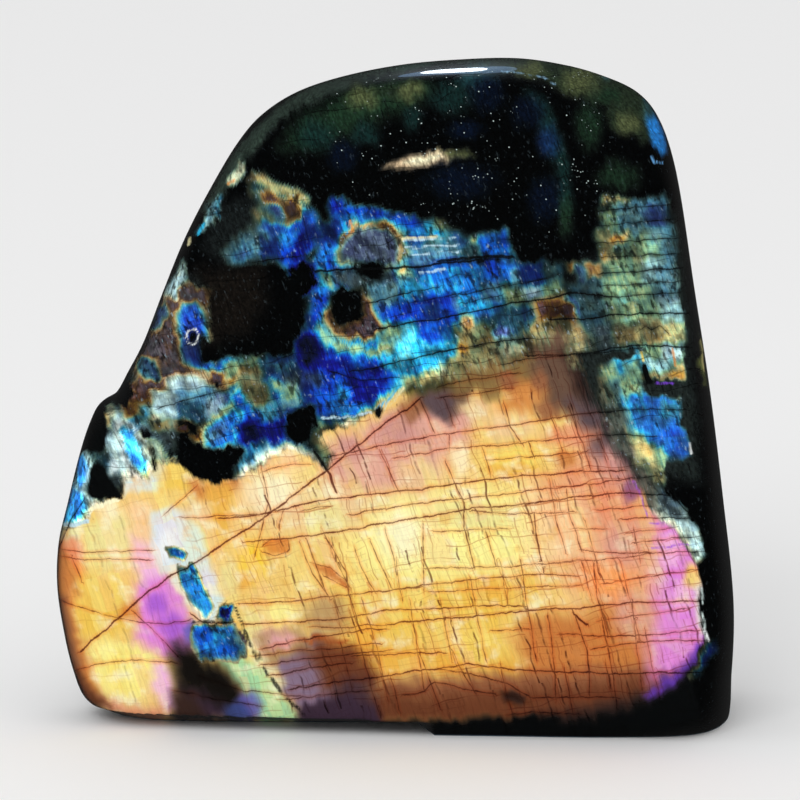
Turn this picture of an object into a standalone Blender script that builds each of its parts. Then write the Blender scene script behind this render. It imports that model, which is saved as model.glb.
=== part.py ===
"""A labradorite freeform: one block of the feldspar, ground and polished by hand to a rounded
wedge with a domed show face, and sawn flat underneath so that it stands by itself.

The show face looks along -Y, +X is its right-hand side and +Z is up. The origin is the middle of
the base. The block is worked out as a thick lens: a closed outline seen from the front (the
girdle), a front skin that bulges towards -Y and a back skin that bulges towards +Y. Both skins
rise from the girdle over a rounded wall and then run across as a gently curved face. The saw cut
then takes off whatever is below Z = 0.
"""

import bmesh
import bpy
import numpy as np

MM = 0.001

# The girdle, anticlockwise from the lower right corner as seen from the front. Each point is x, z,
# the width of the front wall there, measured from the girdle inwards, and its roundness. All but
# the roundness are in millimetres.
OUTLINE_MM = (
    (58.4, -3.0, 11.0, 1.7),
    (59.9, 8.0, 7.5, 1.8),
    (60.1, 21.0, 5.4, 2.0),
    (58.2, 39.0, 5.0, 2.1),
    (55.7, 59.0, 4.6, 2.2),
    (52.9, 77.0, 4.6, 2.2),
    (50.1, 95.3, 4.6, 2.1),
    (48.0, 103.8, 5.2, 1.9),
    (45.5, 109.1, 6.4, 1.6),
    (42.2, 112.4, 7.6, 1.4),
    (37.2, 114.8, 7.2, 1.4),
    (30.8, 116.8, 5.6, 1.5),
    (22.0, 118.2, 3.8, 1.7),
    (11.4, 118.0, 2.8, 1.9),
    (0.8, 117.0, 2.6, 2.0),
    (-9.8, 114.8, 2.6, 2.0),
    (-17.6, 112.0, 2.6, 2.0),
    (-23.5, 108.0, 2.6, 2.0),
    (-27.4, 103.4, 2.6, 2.0),
    (-31.8, 96.0, 2.6, 2.0),
    (-36.9, 86.0, 2.4, 2.0),
    (-40.9, 76.2, 2.2, 2.0),
    (-44.6, 66.6, 2.2, 2.0),
    (-47.4, 61.2, 2.4, 2.0),
    (-49.6, 57.4, 2.6, 2.0),
    (-52.4, 55.6, 2.6, 2.0),
    (-54.0, 52.6, 2.4, 2.0),
    (-55.8, 47.0, 2.4, 2.0),
    (-58.0, 38.0, 2.6, 2.0),
    (-59.6, 31.0, 2.8, 2.0),
    (-59.9, 23.5, 3.2, 2.0),
    (-58.8, 15.4, 3.6, 2.0),
    (-57.2, 8.4, 4.0, 2.0),
    (-55.0, 3.2, 4.2, 2.0),
    (-50.4, 0.4, 4.4, 2.0),
    (-43.0, -2.0, 4.6, 2.0),
    (-30.0, -5.0, 5.0, 2.0),
    (0.0, -6.5, 6.0, 2.0),
    (30.0, -6.5, 7.0, 1.8),
    (50.0, -6.0, 10.0, 1.7),
)
MIDDLE_MM = (2.0, 54.0)  # the point that every section of the skins passes through

# Both walls turn from straight back at the girdle to flat at the face. A roundness of 2 is a
# quarter of an ellipse, a lower one is nearer a flat bevel and a higher one a square edge.
BACK_ROUNDNESS = 2.3
BACK_WALL_MM = 9.0

# The front skin: how far it stands in front of the girdle. It leans back towards the top and is
# thickest at the lower right, where the face meets the right-hand side.
FRONT_RISE_MM = 18.0
FRONT_LEAN = -0.075  # per millimetre of height
FRONT_TURN = 0.10  # per millimetre to the right
DOME_ACROSS_MM = 2.4  # how far the face falls away at its left and right
DOME_UP_MM = 3.4  # and at its top and foot
HALF_WIDTH_MM = 60.0

# The back skin: four broad ground planes that meet in soft edges. Each is its distance behind
# the girdle at the middle, then its slope to the right and upwards.
BACK_PLANES_MM = (
    (22.5, 0.03, -0.05),
    (36.0, 0.46, 0.05),
    (37.5, -0.42, -0.08),
    (35.0, 0.06, -0.52),
)
BACK_EDGE_SOFTNESS_MM = 2.2

# Hollows in the front skin: x, z, half length, half height, turn in degrees, depth.
HOLLOWS_MM = (
    (7.5, 108.0, 15.0, 4.6, 7.0, 0.9),  # the thumb print under the top edge
    (16.5, 96.5, 18.0, 9.5, -6.0, 1.1),  # the shallow dish below it
    (-53.6, 53.6, 4.6, 6.5, 12.0, 3.4),  # the broken hollow on the left shoulder
    (-48.6, 59.6, 3.4, 2.6, 30.0, 1.6),  # the nick above it
    (-36.0, 71.3, 1.7, 2.4, 25.0, 0.8),  # the almond-shaped pit
    (21.0, 7.0, 4.4, 1.6, -22.0, 1.6),  # the slot by the foot
)

# The foot of the face rolls under, and the lower left edge is spalled off in one long chip.
FOOT_ROLL_MM = 7.0  # height over which the face rolls under
FOOT_UNDERCUT_MM = 2.6  # how far it has gone in at the saw cut
SPALL_HEIGHT_MM = 2.6
SPALL_DEPTH_MM = 4.5  # at its left end
SPALL_DEEPENS = 0.10  # per millimetre to the right
SPALL_RIGHT_END_MM = 7.0
SPALL_LEFT_END_MM = -45.0
SPALL_END_LENGTH_MM = 3.0

# Gentle waves that the polishing wheel leaves: height, then waves along x and z per millimetre.
WAVES_MM = (
    (0.16, 0.020, 0.012),
    (0.12, -0.013, 0.026),
    (0.07, 0.041, -0.022),
)

RINGS = 22  # squares of the grid, from the middle out to the girdle
WALL_RINGS = 8  # of these, the ones on the rounded wall


def closed_curve(points, turns):
    """Reads a smooth closed curve through points at turns, which run from 0 to 1 along its length.
    Each stretch is a cubic that leaves a point in the direction of the line between its
    neighbours (a Catmull-Rom curve)."""
    first = np.asarray(points, float)
    steps = np.linalg.norm(np.roll(first, -1, 0)[:, :2] - first[:, :2], axis=1)
    knots = np.concatenate([[0.0], np.cumsum(steps)]) / steps.sum()
    ring = np.vstack([first, first[:1]])
    before, after = np.roll(first, 1, 0), np.roll(first, -1, 0)
    spans = (steps + np.roll(steps, 1)) / steps.sum()
    slopes = (after - before) / spans[:, None]
    slopes = np.vstack([slopes, slopes[:1]])
    place = np.clip(np.searchsorted(knots, turns, side="right") - 1, 0, len(first) - 1)
    length = (knots[place + 1] - knots[place])[..., None]
    u = (turns[..., None] - knots[place][..., None]) / length
    return (
        (2 * u**3 - 3 * u**2 + 1) * ring[place]
        + (u**3 - 2 * u**2 + u) * length * slopes[place]
        + (3 * u**2 - 2 * u**3) * ring[place + 1]
        + (u**3 - u**2) * length * slopes[place + 1]
    )


def hollow(x, z, spot):
    """How deep one hollow is at x, z: a bowl whose depth is (1 - q squared) squared, with q the
    distance from its middle in units of its half sizes."""
    x0, z0, half_x, half_z, turn, depth = spot
    c, s = np.cos(np.radians(turn)), np.sin(np.radians(turn))
    along = ((x - x0) * c + (z - z0) * s) / half_x
    across = ((z - z0) * c - (x - x0) * s) / half_z
    return depth * np.clip(1 - along**2 - across**2, 0, None) ** 2


def waves(x, z):
    """The polisher's waves: a sum of slow sines across the face."""
    return sum(h * np.sin(2 * np.pi * (a * x + b * z)) for h, a, b in WAVES_MM)


def front_rise(x, z):
    """How far the front skin stands in front of the girdle."""
    x0, z0 = MIDDLE_MM
    rise = FRONT_RISE_MM + FRONT_TURN * (x - x0) + FRONT_LEAN * (z - z0)
    rise -= DOME_ACROSS_MM * ((x - x0) / HALF_WIDTH_MM) ** 2
    rise -= DOME_UP_MM * ((z - z0) / HALF_WIDTH_MM) ** 2
    rise += waves(x, z) - sum(hollow(x, z, spot) for spot in HOLLOWS_MM)
    rise -= FOOT_UNDERCUT_MM * np.clip(1 - z / FOOT_ROLL_MM, 0, 2) ** 2
    along = np.clip((SPALL_RIGHT_END_MM - x) / SPALL_END_LENGTH_MM, 0, 1)
    above = np.clip(1 - z / SPALL_HEIGHT_MM, 0, 1)
    depth = SPALL_DEPTH_MM + SPALL_DEEPENS * np.clip(x - SPALL_LEFT_END_MM, 0, None)
    return rise - depth * along * np.sqrt(above)


def back_rise(x, z):
    """How far the back skin stands behind the girdle: the least of the ground planes, with their
    edges softened by -k log(sum(exp(-plane / k)))."""
    x0, z0 = MIDDLE_MM
    k = BACK_EDGE_SOFTNESS_MM
    planes = [
        middle + right * (x - x0) + up * (z - z0) for middle, right, up in BACK_PLANES_MM
    ]
    least = -k * np.log(sum(np.exp(-plane / k) for plane in planes))
    return least + waves(z, x)


def square_grid(rings):
    """A square grid of points as (ring, turn): ring is 0 in the middle and rings at the rim, and
    turn runs from 0 to 1 round each square, anticlockwise from its lower right corner."""
    across = np.arange(-rings, rings + 1)
    i, j = np.meshgrid(across, across, indexing="ij")
    ring = np.maximum(abs(i), abs(j))
    side = np.maximum(ring, 1) * 8.0
    turn = np.select(
        [i == ring, j == ring, i == -ring],
        [(j + ring) / side, 0.25 + (ring - i) / side, 0.5 + (ring - j) / side],
        0.75 + (i + ring) / side,
    )
    return ring, turn % 1.0


def skin(rings, wall_rings, rise_of, same_wall=None):
    """One skin of the block on a square grid, as x, rise from the girdle and z.
    On the wall, with the angle a going from 0 at the girdle to 90 degrees at the face, the skin
    has come in by wall * (1 - cos(a) ** (2 / roundness)) and up by sin(a) ** (2 / roundness).
    same_wall is one width and roundness for the whole wall, in place of the outline's own."""
    ring, turn = square_grid(rings)
    girdle = closed_curve(OUTLINE_MM, turn)
    outline, wall, roundness = girdle[..., :2], girdle[..., 2], girdle[..., 3]
    if same_wall is not None:
        wall, roundness = same_wall
    inward = np.array(MIDDLE_MM) - outline
    reach = np.linalg.norm(inward, axis=-1)
    angle = np.clip((rings - ring) / wall_rings, 0, 1) * np.pi / 2
    share_in = 1 - np.cos(angle) ** (2 / roundness)
    share_up = np.sin(angle) ** (2 / roundness)
    face = np.clip((rings - wall_rings - ring) / (rings - wall_rings), 0, 1)
    moved = wall * share_in + (reach - wall) * face
    place = outline + inward * (moved / reach)[..., None]
    x, z = place[..., 0], place[..., 1]
    return x, share_up * rise_of(x, z), z


def block_mesh(rings=RINGS, wall_rings=WALL_RINGS):
    """Both skins as one closed mesh. They share the vertices of the girdle."""
    x, rise, z = skin(rings, wall_rings, front_rise)
    xb, back, zb = skin(rings, wall_rings, back_rise, (BACK_WALL_MM, BACK_ROUNDNESS))
    front_points = np.stack([x, -rise, z], -1).reshape(-1, 3)
    back_points = np.stack([xb, back, zb], -1).reshape(-1, 3)
    count = 2 * rings + 1
    number = np.arange(count * count).reshape(count, count)
    on_girdle = square_grid(rings)[0] == rings
    inner = ~on_girdle
    back_number = number.copy()
    back_number[inner] = count * count + np.arange(inner.sum())
    faces = [
        np.stack([n[:-1, :-1], n[1:, :-1], n[1:, 1:], n[:-1, 1:]], -1).reshape(-1, 4)
        for n in (number, back_number)
    ]
    quads = np.vstack([faces[0], faces[1][:, ::-1]])
    points = np.vstack([front_points, back_points[inner.ravel()]])
    mesh = bpy.data.meshes.new("stone")
    mesh.from_pydata((points * MM).tolist(), [], quads.tolist())
    return mesh


def saw_the_base(mesh):
    """Cuts the block off flat at Z = 0 and closes the cut with one face."""
    bm = bmesh.new()
    bm.from_mesh(mesh)
    everything = bm.verts[:] + bm.edges[:] + bm.faces[:]
    cut = bmesh.ops.bisect_plane(
        bm, geom=everything, dist=1e-6, plane_co=(0, 0, 0), plane_no=(0, 0, -1), clear_outer=True
    )
    rim = [item for item in cut["geom_cut"] if isinstance(item, bmesh.types.BMEdge)]
    bmesh.ops.contextual_create(bm, geom=rim)
    bmesh.ops.recalc_face_normals(bm, faces=bm.faces[:])
    bm.to_mesh(mesh)
    bm.free()


def centre_on_the_base(mesh):
    """Moves the mesh so that the origin is the middle of its box, at the foot."""
    corners = np.array([vertex.co for vertex in mesh.vertices])
    middle = (corners.min(0) + corners.max(0)) / 2
    for vertex in mesh.vertices:
        vertex.co.x -= middle[0]
        vertex.co.y -= middle[1]


def labradorite_material():
    """Dark polished feldspar."""
    material = bpy.data.materials.new("labradorite")
    material.use_nodes = True
    shader = material.node_tree.nodes["Principled BSDF"]
    shader.inputs["Base Color"].default_value = (0.10, 0.13, 0.13, 1.0)
    shader.inputs["Roughness"].default_value = 0.12
    shader.inputs["Metallic"].default_value = 0.0
    return material


def build():
    for thing in list(bpy.data.objects):
        bpy.data.objects.remove(thing)
    mesh = block_mesh()
    saw_the_base(mesh)
    centre_on_the_base(mesh)
    mesh.materials.append(labradorite_material())
    mesh.shade_smooth()
    mesh.set_sharp_from_angle(angle=np.radians(40))
    stone = bpy.data.objects.new("labradorite_stone", mesh)
    bpy.context.scene.collection.objects.link(stone)


build()
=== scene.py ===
# %% [markdown]
# # A labradorite freeform
#
# Labradorite is a feldspar that grew in very thin layers. Where light comes back from those layers
# it flashes in pure colours, and everywhere else the stone is nearly black. This one is a single
# block: ground to a rounded wedge, polished, and sawn flat underneath so that it stands.
#
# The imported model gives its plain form. This script gives it a finer skin, the pattern of the
# flash, the cleavage cracks, and the polish.

import math

import bmesh
import bpy
import numpy as np
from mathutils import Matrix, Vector


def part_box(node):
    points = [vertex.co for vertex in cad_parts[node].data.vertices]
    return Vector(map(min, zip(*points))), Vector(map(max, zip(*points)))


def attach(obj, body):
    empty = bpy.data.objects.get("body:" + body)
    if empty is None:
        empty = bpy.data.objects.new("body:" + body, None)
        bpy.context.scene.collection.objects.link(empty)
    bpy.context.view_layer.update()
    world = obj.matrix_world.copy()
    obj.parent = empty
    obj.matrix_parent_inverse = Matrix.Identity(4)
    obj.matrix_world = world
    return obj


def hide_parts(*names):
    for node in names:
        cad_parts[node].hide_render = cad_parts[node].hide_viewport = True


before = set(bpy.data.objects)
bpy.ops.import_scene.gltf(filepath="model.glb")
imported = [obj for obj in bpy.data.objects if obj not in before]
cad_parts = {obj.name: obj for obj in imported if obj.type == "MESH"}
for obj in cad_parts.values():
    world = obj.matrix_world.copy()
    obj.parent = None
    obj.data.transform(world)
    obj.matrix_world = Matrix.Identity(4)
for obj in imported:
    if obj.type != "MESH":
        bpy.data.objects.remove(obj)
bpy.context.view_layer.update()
MM = 0.001
low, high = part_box("labradorite_stone")
print("packed stone, mm:", [round((b - a) / MM, 1) for a, b in zip(low, high)])

# %% [markdown]
# ## The outline and the two skins
#
# The block is a thick lens. A closed outline, the girdle, runs round it, a front skin bulges
# towards -Y and a back skin towards +Y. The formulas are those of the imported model, so the fine
# skin lies on it. They are worked out again because the flash needs a colour every 0.4 mm, and a
# function can be read on any grid.

# %% The girdle: x, z, width of the front wall, roundness
OUTLINE_MM = (
    (58.4, -3.0, 11.0, 1.7),
    (59.9, 8.0, 7.5, 1.8),
    (60.1, 21.0, 5.4, 2.0),
    (58.2, 39.0, 5.0, 2.1),
    (55.7, 59.0, 4.6, 2.2),
    (52.9, 77.0, 4.6, 2.2),
    (50.1, 95.3, 4.6, 2.1),
    (48.0, 103.8, 5.2, 1.9),
    (45.5, 109.1, 6.4, 1.6),
    (42.2, 112.4, 7.6, 1.4),
    (37.2, 114.8, 7.2, 1.4),
    (30.8, 116.8, 5.6, 1.5),
    (22.0, 118.2, 3.8, 1.7),
    (11.4, 118.0, 2.8, 1.9),
    (0.8, 117.0, 2.6, 2.0),
    (-9.8, 114.8, 2.6, 2.0),
    (-17.6, 112.0, 2.6, 2.0),
    (-23.5, 108.0, 2.6, 2.0),
    (-27.4, 103.4, 2.6, 2.0),
    (-31.8, 96.0, 2.6, 2.0),
    (-36.9, 86.0, 2.4, 2.0),
    (-40.9, 76.2, 2.2, 2.0),
    (-44.6, 66.6, 2.2, 2.0),
    (-47.4, 61.2, 2.4, 2.0),
    (-49.6, 57.4, 2.6, 2.0),
    (-52.4, 55.6, 2.6, 2.0),
    (-54.0, 52.6, 2.4, 2.0),
    (-55.8, 47.0, 2.4, 2.0),
    (-58.0, 38.0, 2.6, 2.0),
    (-59.6, 31.0, 2.8, 2.0),
    (-59.9, 23.5, 3.2, 2.0),
    (-58.8, 15.4, 3.6, 2.0),
    (-57.2, 8.4, 4.0, 2.0),
    (-55.0, 3.2, 4.2, 2.0),
    (-50.4, 0.4, 4.4, 2.0),
    (-43.0, -2.0, 4.6, 2.0),
    (-30.0, -5.0, 5.0, 2.0),
    (0.0, -6.5, 6.0, 2.0),
    (30.0, -6.5, 7.0, 1.8),
    (50.0, -6.0, 10.0, 1.7),
)
MIDDLE_MM = (2.0, 54.0)
BACK_WALL_MM = 9.0
BACK_ROUNDNESS = 2.3


def closed_curve(points, turns):
    """Reads a smooth closed curve at turns, which run from 0 to 1 along its length. Each stretch
    is a cubic that leaves a point in the direction of the line between its neighbours."""
    first = np.asarray(points, float)
    steps = np.linalg.norm(np.roll(first, -1, 0)[:, :2] - first[:, :2], axis=1)
    knots = np.concatenate([[0.0], np.cumsum(steps)]) / steps.sum()
    ring = np.vstack([first, first[:1]])
    spans = (steps + np.roll(steps, 1)) / steps.sum()
    slopes = (np.roll(first, -1, 0) - np.roll(first, 1, 0)) / spans[:, None]
    slopes = np.vstack([slopes, slopes[:1]])
    place = np.clip(np.searchsorted(knots, turns, side="right") - 1, 0, len(first) - 1)
    length = (knots[place + 1] - knots[place])[..., None]
    u = (turns[..., None] - knots[place][..., None]) / length
    return (
        (2 * u**3 - 3 * u**2 + 1) * ring[place]
        + (u**3 - 2 * u**2 + u) * length * slopes[place]
        + (3 * u**2 - 2 * u**3) * ring[place + 1]
        + (u**3 - u**2) * length * slopes[place + 1]
    )


print("girdle:", len(OUTLINE_MM), "points")

# %% [markdown]
# The show face was ground by hand, so it is a shallow dome that leans back a little. Two hollows
# lie below the top ridge, where a softer vein was ground away, and smaller ones at the left step.
# The foot rolls under, and a long chip has come off it. Each of these is one term of a sum.

# %% The front skin: a leaning dome with hollows, a rolled foot and a long chip
FRONT_RISE_MM = 18.0
FRONT_LEAN = -0.075
FRONT_TURN = 0.10
DOME_ACROSS_MM = 2.4
DOME_UP_MM = 3.4
HALF_WIDTH_MM = 60.0
HOLLOWS_MM = (
    (7.5, 108.0, 15.0, 4.6, 7.0, 0.9),
    (16.5, 96.5, 18.0, 9.5, -6.0, 1.1),
    (-53.6, 53.6, 4.6, 6.5, 12.0, 3.4),
    (-48.6, 59.6, 3.4, 2.6, 30.0, 1.6),
    (-36.0, 71.3, 1.7, 2.4, 25.0, 0.8),
    (21.0, 7.0, 4.4, 1.6, -22.0, 1.6),
)
FOOT_ROLL_MM = 7.0
FOOT_UNDERCUT_MM = 2.6
SPALL_HEIGHT_MM = 2.6
SPALL_DEPTH_MM = 4.5
SPALL_DEEPENS = 0.10
SPALL_RIGHT_END_MM = 7.0
SPALL_LEFT_END_MM = -45.0
SPALL_END_LENGTH_MM = 3.0
WAVES_MM = ((0.16, 0.020, 0.012), (0.12, -0.013, 0.026), (0.07, 0.041, -0.022))


def hollow(x, z, spot):
    """The depth of one hollow: (1 - q squared) squared, q the distance in its half sizes."""
    x0, z0, half_x, half_z, turn, depth = spot
    c, s = np.cos(np.radians(turn)), np.sin(np.radians(turn))
    along = ((x - x0) * c + (z - z0) * s) / half_x
    across = ((z - z0) * c - (x - x0) * s) / half_z
    return depth * np.clip(1 - along**2 - across**2, 0, None) ** 2


def waves(x, z):
    """The polisher's waves: a sum of slow sines across the face."""
    return sum(h * np.sin(2 * np.pi * (a * x + b * z)) for h, a, b in WAVES_MM)


def front_rise(x, z):
    """The rise of the front skin: a sloping plane, less a parabola each way, less the hollows,
    less a roll at the foot that grows as the square of the depth below its top."""
    x0, z0 = MIDDLE_MM
    rise = FRONT_RISE_MM + FRONT_TURN * (x - x0) + FRONT_LEAN * (z - z0)
    rise -= DOME_ACROSS_MM * ((x - x0) / HALF_WIDTH_MM) ** 2
    rise -= DOME_UP_MM * ((z - z0) / HALF_WIDTH_MM) ** 2
    rise += waves(x, z) - sum(hollow(x, z, spot) for spot in HOLLOWS_MM)
    rise -= FOOT_UNDERCUT_MM * np.clip(1 - z / FOOT_ROLL_MM, 0, 2) ** 2
    along = np.clip((SPALL_RIGHT_END_MM - x) / SPALL_END_LENGTH_MM, 0, 1)
    above = np.clip(1 - z / SPALL_HEIGHT_MM, 0, 1)
    depth = SPALL_DEPTH_MM + SPALL_DEEPENS * np.clip(x - SPALL_LEFT_END_MM, 0, None)
    return rise - depth * along * np.sqrt(above)


print("front rise in the middle, mm:", round(float(front_rise(*MIDDLE_MM)), 2))

# %% [markdown]
# The back is out of sight for a buyer, so it is ground in a few flat passes and its edges are only
# softened. The least of four planes gives that, and a soft minimum rounds the edges between them.

# %% The back skin: four ground planes with soft edges
BACK_PLANES_MM = (
    (22.5, 0.03, -0.05),
    (36.0, 0.46, 0.05),
    (37.5, -0.42, -0.08),
    (35.0, 0.06, -0.52),
)
BACK_EDGE_SOFTNESS_MM = 2.2


def back_rise(x, z):
    """The least of the planes, its edges softened by -k log(sum(exp(-plane / k)))."""
    x0, z0 = MIDDLE_MM
    k = BACK_EDGE_SOFTNESS_MM
    planes = [m + right * (x - x0) + up * (z - z0) for m, right, up in BACK_PLANES_MM]
    return -k * np.log(sum(np.exp(-plane / k) for plane in planes)) + waves(z, x)


# %% [markdown]
# A square grid is wrapped onto the outline: each square of the grid becomes one ring, so the grid
# has no pole in the middle, where triangles would crowd. The back needs only half as many rings,
# and it shares every second point of the girdle with the front.

# %% Rings of a square grid
FRONT_RINGS = 136
FRONT_WALL_RINGS = 16


def square_grid(rings):
    """ring is 0 in the middle and rings at the rim; turn runs from 0 to 1 round each square."""
    across = np.arange(-rings, rings + 1)
    i, j = np.meshgrid(across, across, indexing="ij")
    ring = np.maximum(abs(i), abs(j))
    side = np.maximum(ring, 1) * 8.0
    turn = np.select(
        [i == ring, j == ring, i == -ring],
        [(j + ring) / side, 0.25 + (ring - i) / side, 0.5 + (ring - j) / side],
        0.75 + (i + ring) / side,
    )
    return ring, turn % 1.0


def skin(rings, wall_rings, rise_of, same_wall=None):
    """One skin as x, rise and z. On the wall the angle a goes from 0 at the girdle to a right
    angle at the face. The skin has come in by wall * (1 - cos(a) ** (2 / roundness)), and has
    risen by the share sin(a) ** (2 / roundness)."""
    ring, turn = square_grid(rings)
    girdle = closed_curve(OUTLINE_MM, turn)
    outline, wall, roundness = girdle[..., :2], girdle[..., 2], girdle[..., 3]
    if same_wall is not None:
        wall, roundness = same_wall
    inward = np.array(MIDDLE_MM) - outline
    reach = np.linalg.norm(inward, axis=-1)
    angle = np.clip((rings - ring) / wall_rings, 0, 1) * np.pi / 2
    share_in = 1 - np.cos(angle) ** (2 / roundness)
    share_up = np.sin(angle) ** (2 / roundness)
    face = np.clip((rings - wall_rings - ring) / (rings - wall_rings), 0, 1)
    moved = wall * share_in + (reach - wall) * face
    place = outline + inward * (moved / reach)[..., None]
    x, z = place[..., 0], place[..., 1]
    return x, share_up * rise_of(x, z), z


def quads_of(numbers):
    """The cells of a grid of vertex numbers."""
    n = numbers
    return np.stack([n[:-1, :-1], n[1:, :-1], n[1:, 1:], n[:-1, 1:]], -1).reshape(-1, 4)


print("cells on the front:", (2 * FRONT_RINGS) ** 2)

# %% [markdown]
# The two skins meet at the girdle. The back's outermost cells take in the front's finer points, so
# the mesh is closed, and a cut at the level of the table makes the sawn base.

# %% Join the skins and saw the base
CUT_TOUCH_M = 1e-7


def rim_faces(front, back):
    """The back's outermost cells, with the girdle point between two corners added."""
    faces = []
    count = back.shape[0] - 1
    fine = {}
    for axis_line in (0, 2 * count):
        for k in range(count):
            fine[back[axis_line // 2, k], back[axis_line // 2, k + 1]] = front[axis_line, 2 * k + 1]
            fine[back[k, axis_line // 2], back[k + 1, axis_line // 2]] = front[2 * k + 1, axis_line]
    last = count - 1
    edge_cells = {cell for k in range(count) for cell in ((0, k), (last, k), (k, 0), (k, last))}
    for i, j in sorted(edge_cells):
        corners = [back[i, j], back[i, j + 1], back[i + 1, j + 1], back[i + 1, j]]
        face = []
        for a, b in zip(corners, corners[1:] + corners[:1]):
            face.append(int(a))
            between = fine.get((a, b), fine.get((b, a)))
            if between is not None:
                face.append(int(between))
        faces.append(face)
    return faces


def stone_mesh():
    """Both skins as one closed mesh, cut flat at z = 0."""
    x, rise, z = skin(FRONT_RINGS, FRONT_WALL_RINGS, front_rise)
    half = FRONT_RINGS // 2
    xb, back_out, zb = skin(half, FRONT_WALL_RINGS // 2, back_rise, (BACK_WALL_MM, BACK_ROUNDNESS))
    front = np.arange(x.size).reshape(x.shape)
    back = front[::2, ::2].copy()
    inner = square_grid(half)[0] < half
    back[inner] = x.size + np.arange(inner.sum())
    points = np.vstack(
        [
            np.stack([x, -rise, z], -1).reshape(-1, 3),
            np.stack([xb, back_out, zb], -1)[inner],
        ]
    )
    faces = quads_of(front).tolist() + quads_of(back[1:-1, 1:-1])[:, ::-1].tolist()
    faces += rim_faces(front, back)
    mesh = bpy.data.meshes.new("labradorite_skin")
    mesh.from_pydata((points * MM).tolist(), [], faces)
    bm = bmesh.new()
    bm.from_mesh(mesh)
    everything = bm.verts[:] + bm.edges[:] + bm.faces[:]
    cut = bmesh.ops.bisect_plane(
        bm, geom=everything, dist=CUT_TOUCH_M, plane_co=(0, 0, 0), plane_no=(0, 0, -1), clear_outer=True
    )
    rim = [item for item in cut["geom_cut"] if isinstance(item, bmesh.types.BMEdge)]
    bmesh.ops.contextual_create(bm, geom=rim)
    bmesh.ops.recalc_face_normals(bm, faces=bm.faces[:])
    bm.to_mesh(mesh)
    bm.free()
    return mesh


def read_vectors(mesh, name):
    """One vector for each point of the mesh: its place, co, or its normal."""
    values = np.empty(len(mesh.vertices) * 3, np.float32)
    mesh.vertices.foreach_get(name, values)
    return values.reshape(-1, 3).astype(float)


mesh = stone_mesh()
points = read_vectors(mesh, "co")
box_middle = (points.min(0) + points.max(0)) / 2
girdle_y = -box_middle[1]
points -= np.array([box_middle[0], box_middle[1], 0.0])
mesh.vertices.foreach_set("co", points.astype(np.float32).ravel())
mesh.update()
print("fine skin:", len(mesh.vertices), "points, mm:", np.round((points.max(0) - points.min(0)) / MM, 1))

# %% [markdown]
# ## The drawing of the flash
#
# On the real stone a flash is a region whose layers happen to face the eye. Its shape does not
# come from the outside form, so it is drawn: each patch has an outline on a flat plan laid over
# the front, and a colour name. The plan is 800 units wide, a unit is 0.177 mm, and it stands
# square to a viewer who looks down on the stone by 12 degrees. Names come from one palette, so a
# blue that occurs twenty times is changed in one place.

# %% Palette: display values from 0 to 255
PALETTE = {
    "black": (6, 9, 10), "aqua": (116, 206, 202), "drab": (132, 104, 60), "ink": (1, 3, 4),
    "frost": (216, 236, 232), "bevel": (46, 60, 52), "forest": (26, 52, 34), "spruce": (14, 44, 42),
    "abyss": (2, 14, 36), "soot": (20, 16, 12), "smut": (20, 26, 26), "grime": (30, 38, 36),
    "pine": (9, 16, 14), "night": (10, 16, 58), "navy": (6, 10, 92), "indigo": (10, 16, 140),
    "royal": (6, 66, 205), "blue": (12, 104, 218), "azure": (34, 140, 232), "sky": (104, 168, 224),
    "ice": (190, 225, 240), "cyan": (40, 188, 234), "teal": (78, 132, 146), "lagoon": (32, 76, 82),
    "deep_teal": (10, 32, 40), "dusk": (12, 42, 86), "denim": (56, 72, 132), "slate": (70, 88, 100),
    "steel": (120, 158, 182), "grey": (150, 147, 150), "moss": (36, 50, 34), "sage": (46, 70, 58),
    "khaki": (86, 94, 58), "bronze": (58, 60, 24), "mint": (168, 220, 164), "lime": (178, 188, 92),
    "straw": (238, 226, 150), "cream": (230, 222, 172), "ivory": (255, 250, 208),
    "lemon": (255, 245, 152), "yellow": (250, 222, 104), "sun": (255, 214, 56), "gold": (244, 206, 116),
    "honey": (242, 200, 84), "caramel": (206, 128, 62), "cocoa": (112, 62, 36), "buff": (238, 202, 150),
    "amber": (238, 180, 70), "orange": (224, 142, 60), "apricot": (255, 166, 92),
    "coral": (232, 152, 112), "salmon": (224, 166, 148), "peach": (250, 206, 152), "tan": (182, 146, 96),
    "sand": (214, 186, 148), "brown": (152, 96, 62), "umber": (104, 78, 62), "smoke": (92, 74, 78),
    "bark": (58, 38, 32), "rust": (176, 84, 30), "crack_brown": (104, 44, 34), "rose": (230, 166, 172),
    "orchid": (206, 148, 138), "pink": (246, 188, 226), "magenta": (226, 134, 220),
    "mulberry": (140, 84, 126), "violet": (168, 92, 212), "purple": (112, 62, 192), "iris": (96, 92, 184),
    "pearl": (226, 226, 242), "mauve": (134, 112, 134), "plum": (62, 44, 60), "white": (244, 250, 250),
}
print("palette:", len(PALETTE), "colours")

# %% [markdown]
# Where the layers grow thicker the flash runs through a fixed order of colours: black, deep blue,
# azure, aqua, mint, straw, amber and then a greyish mauve. So a patch is given a level on this
# ramp, not a colour, and where two patches meet the level passes through all colours between them.
# That is what makes the thin bright fringes of the real stone. Beside its level a name has a gain,
# for how strong the light is, and a purity, for how far it is from grey.

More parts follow.
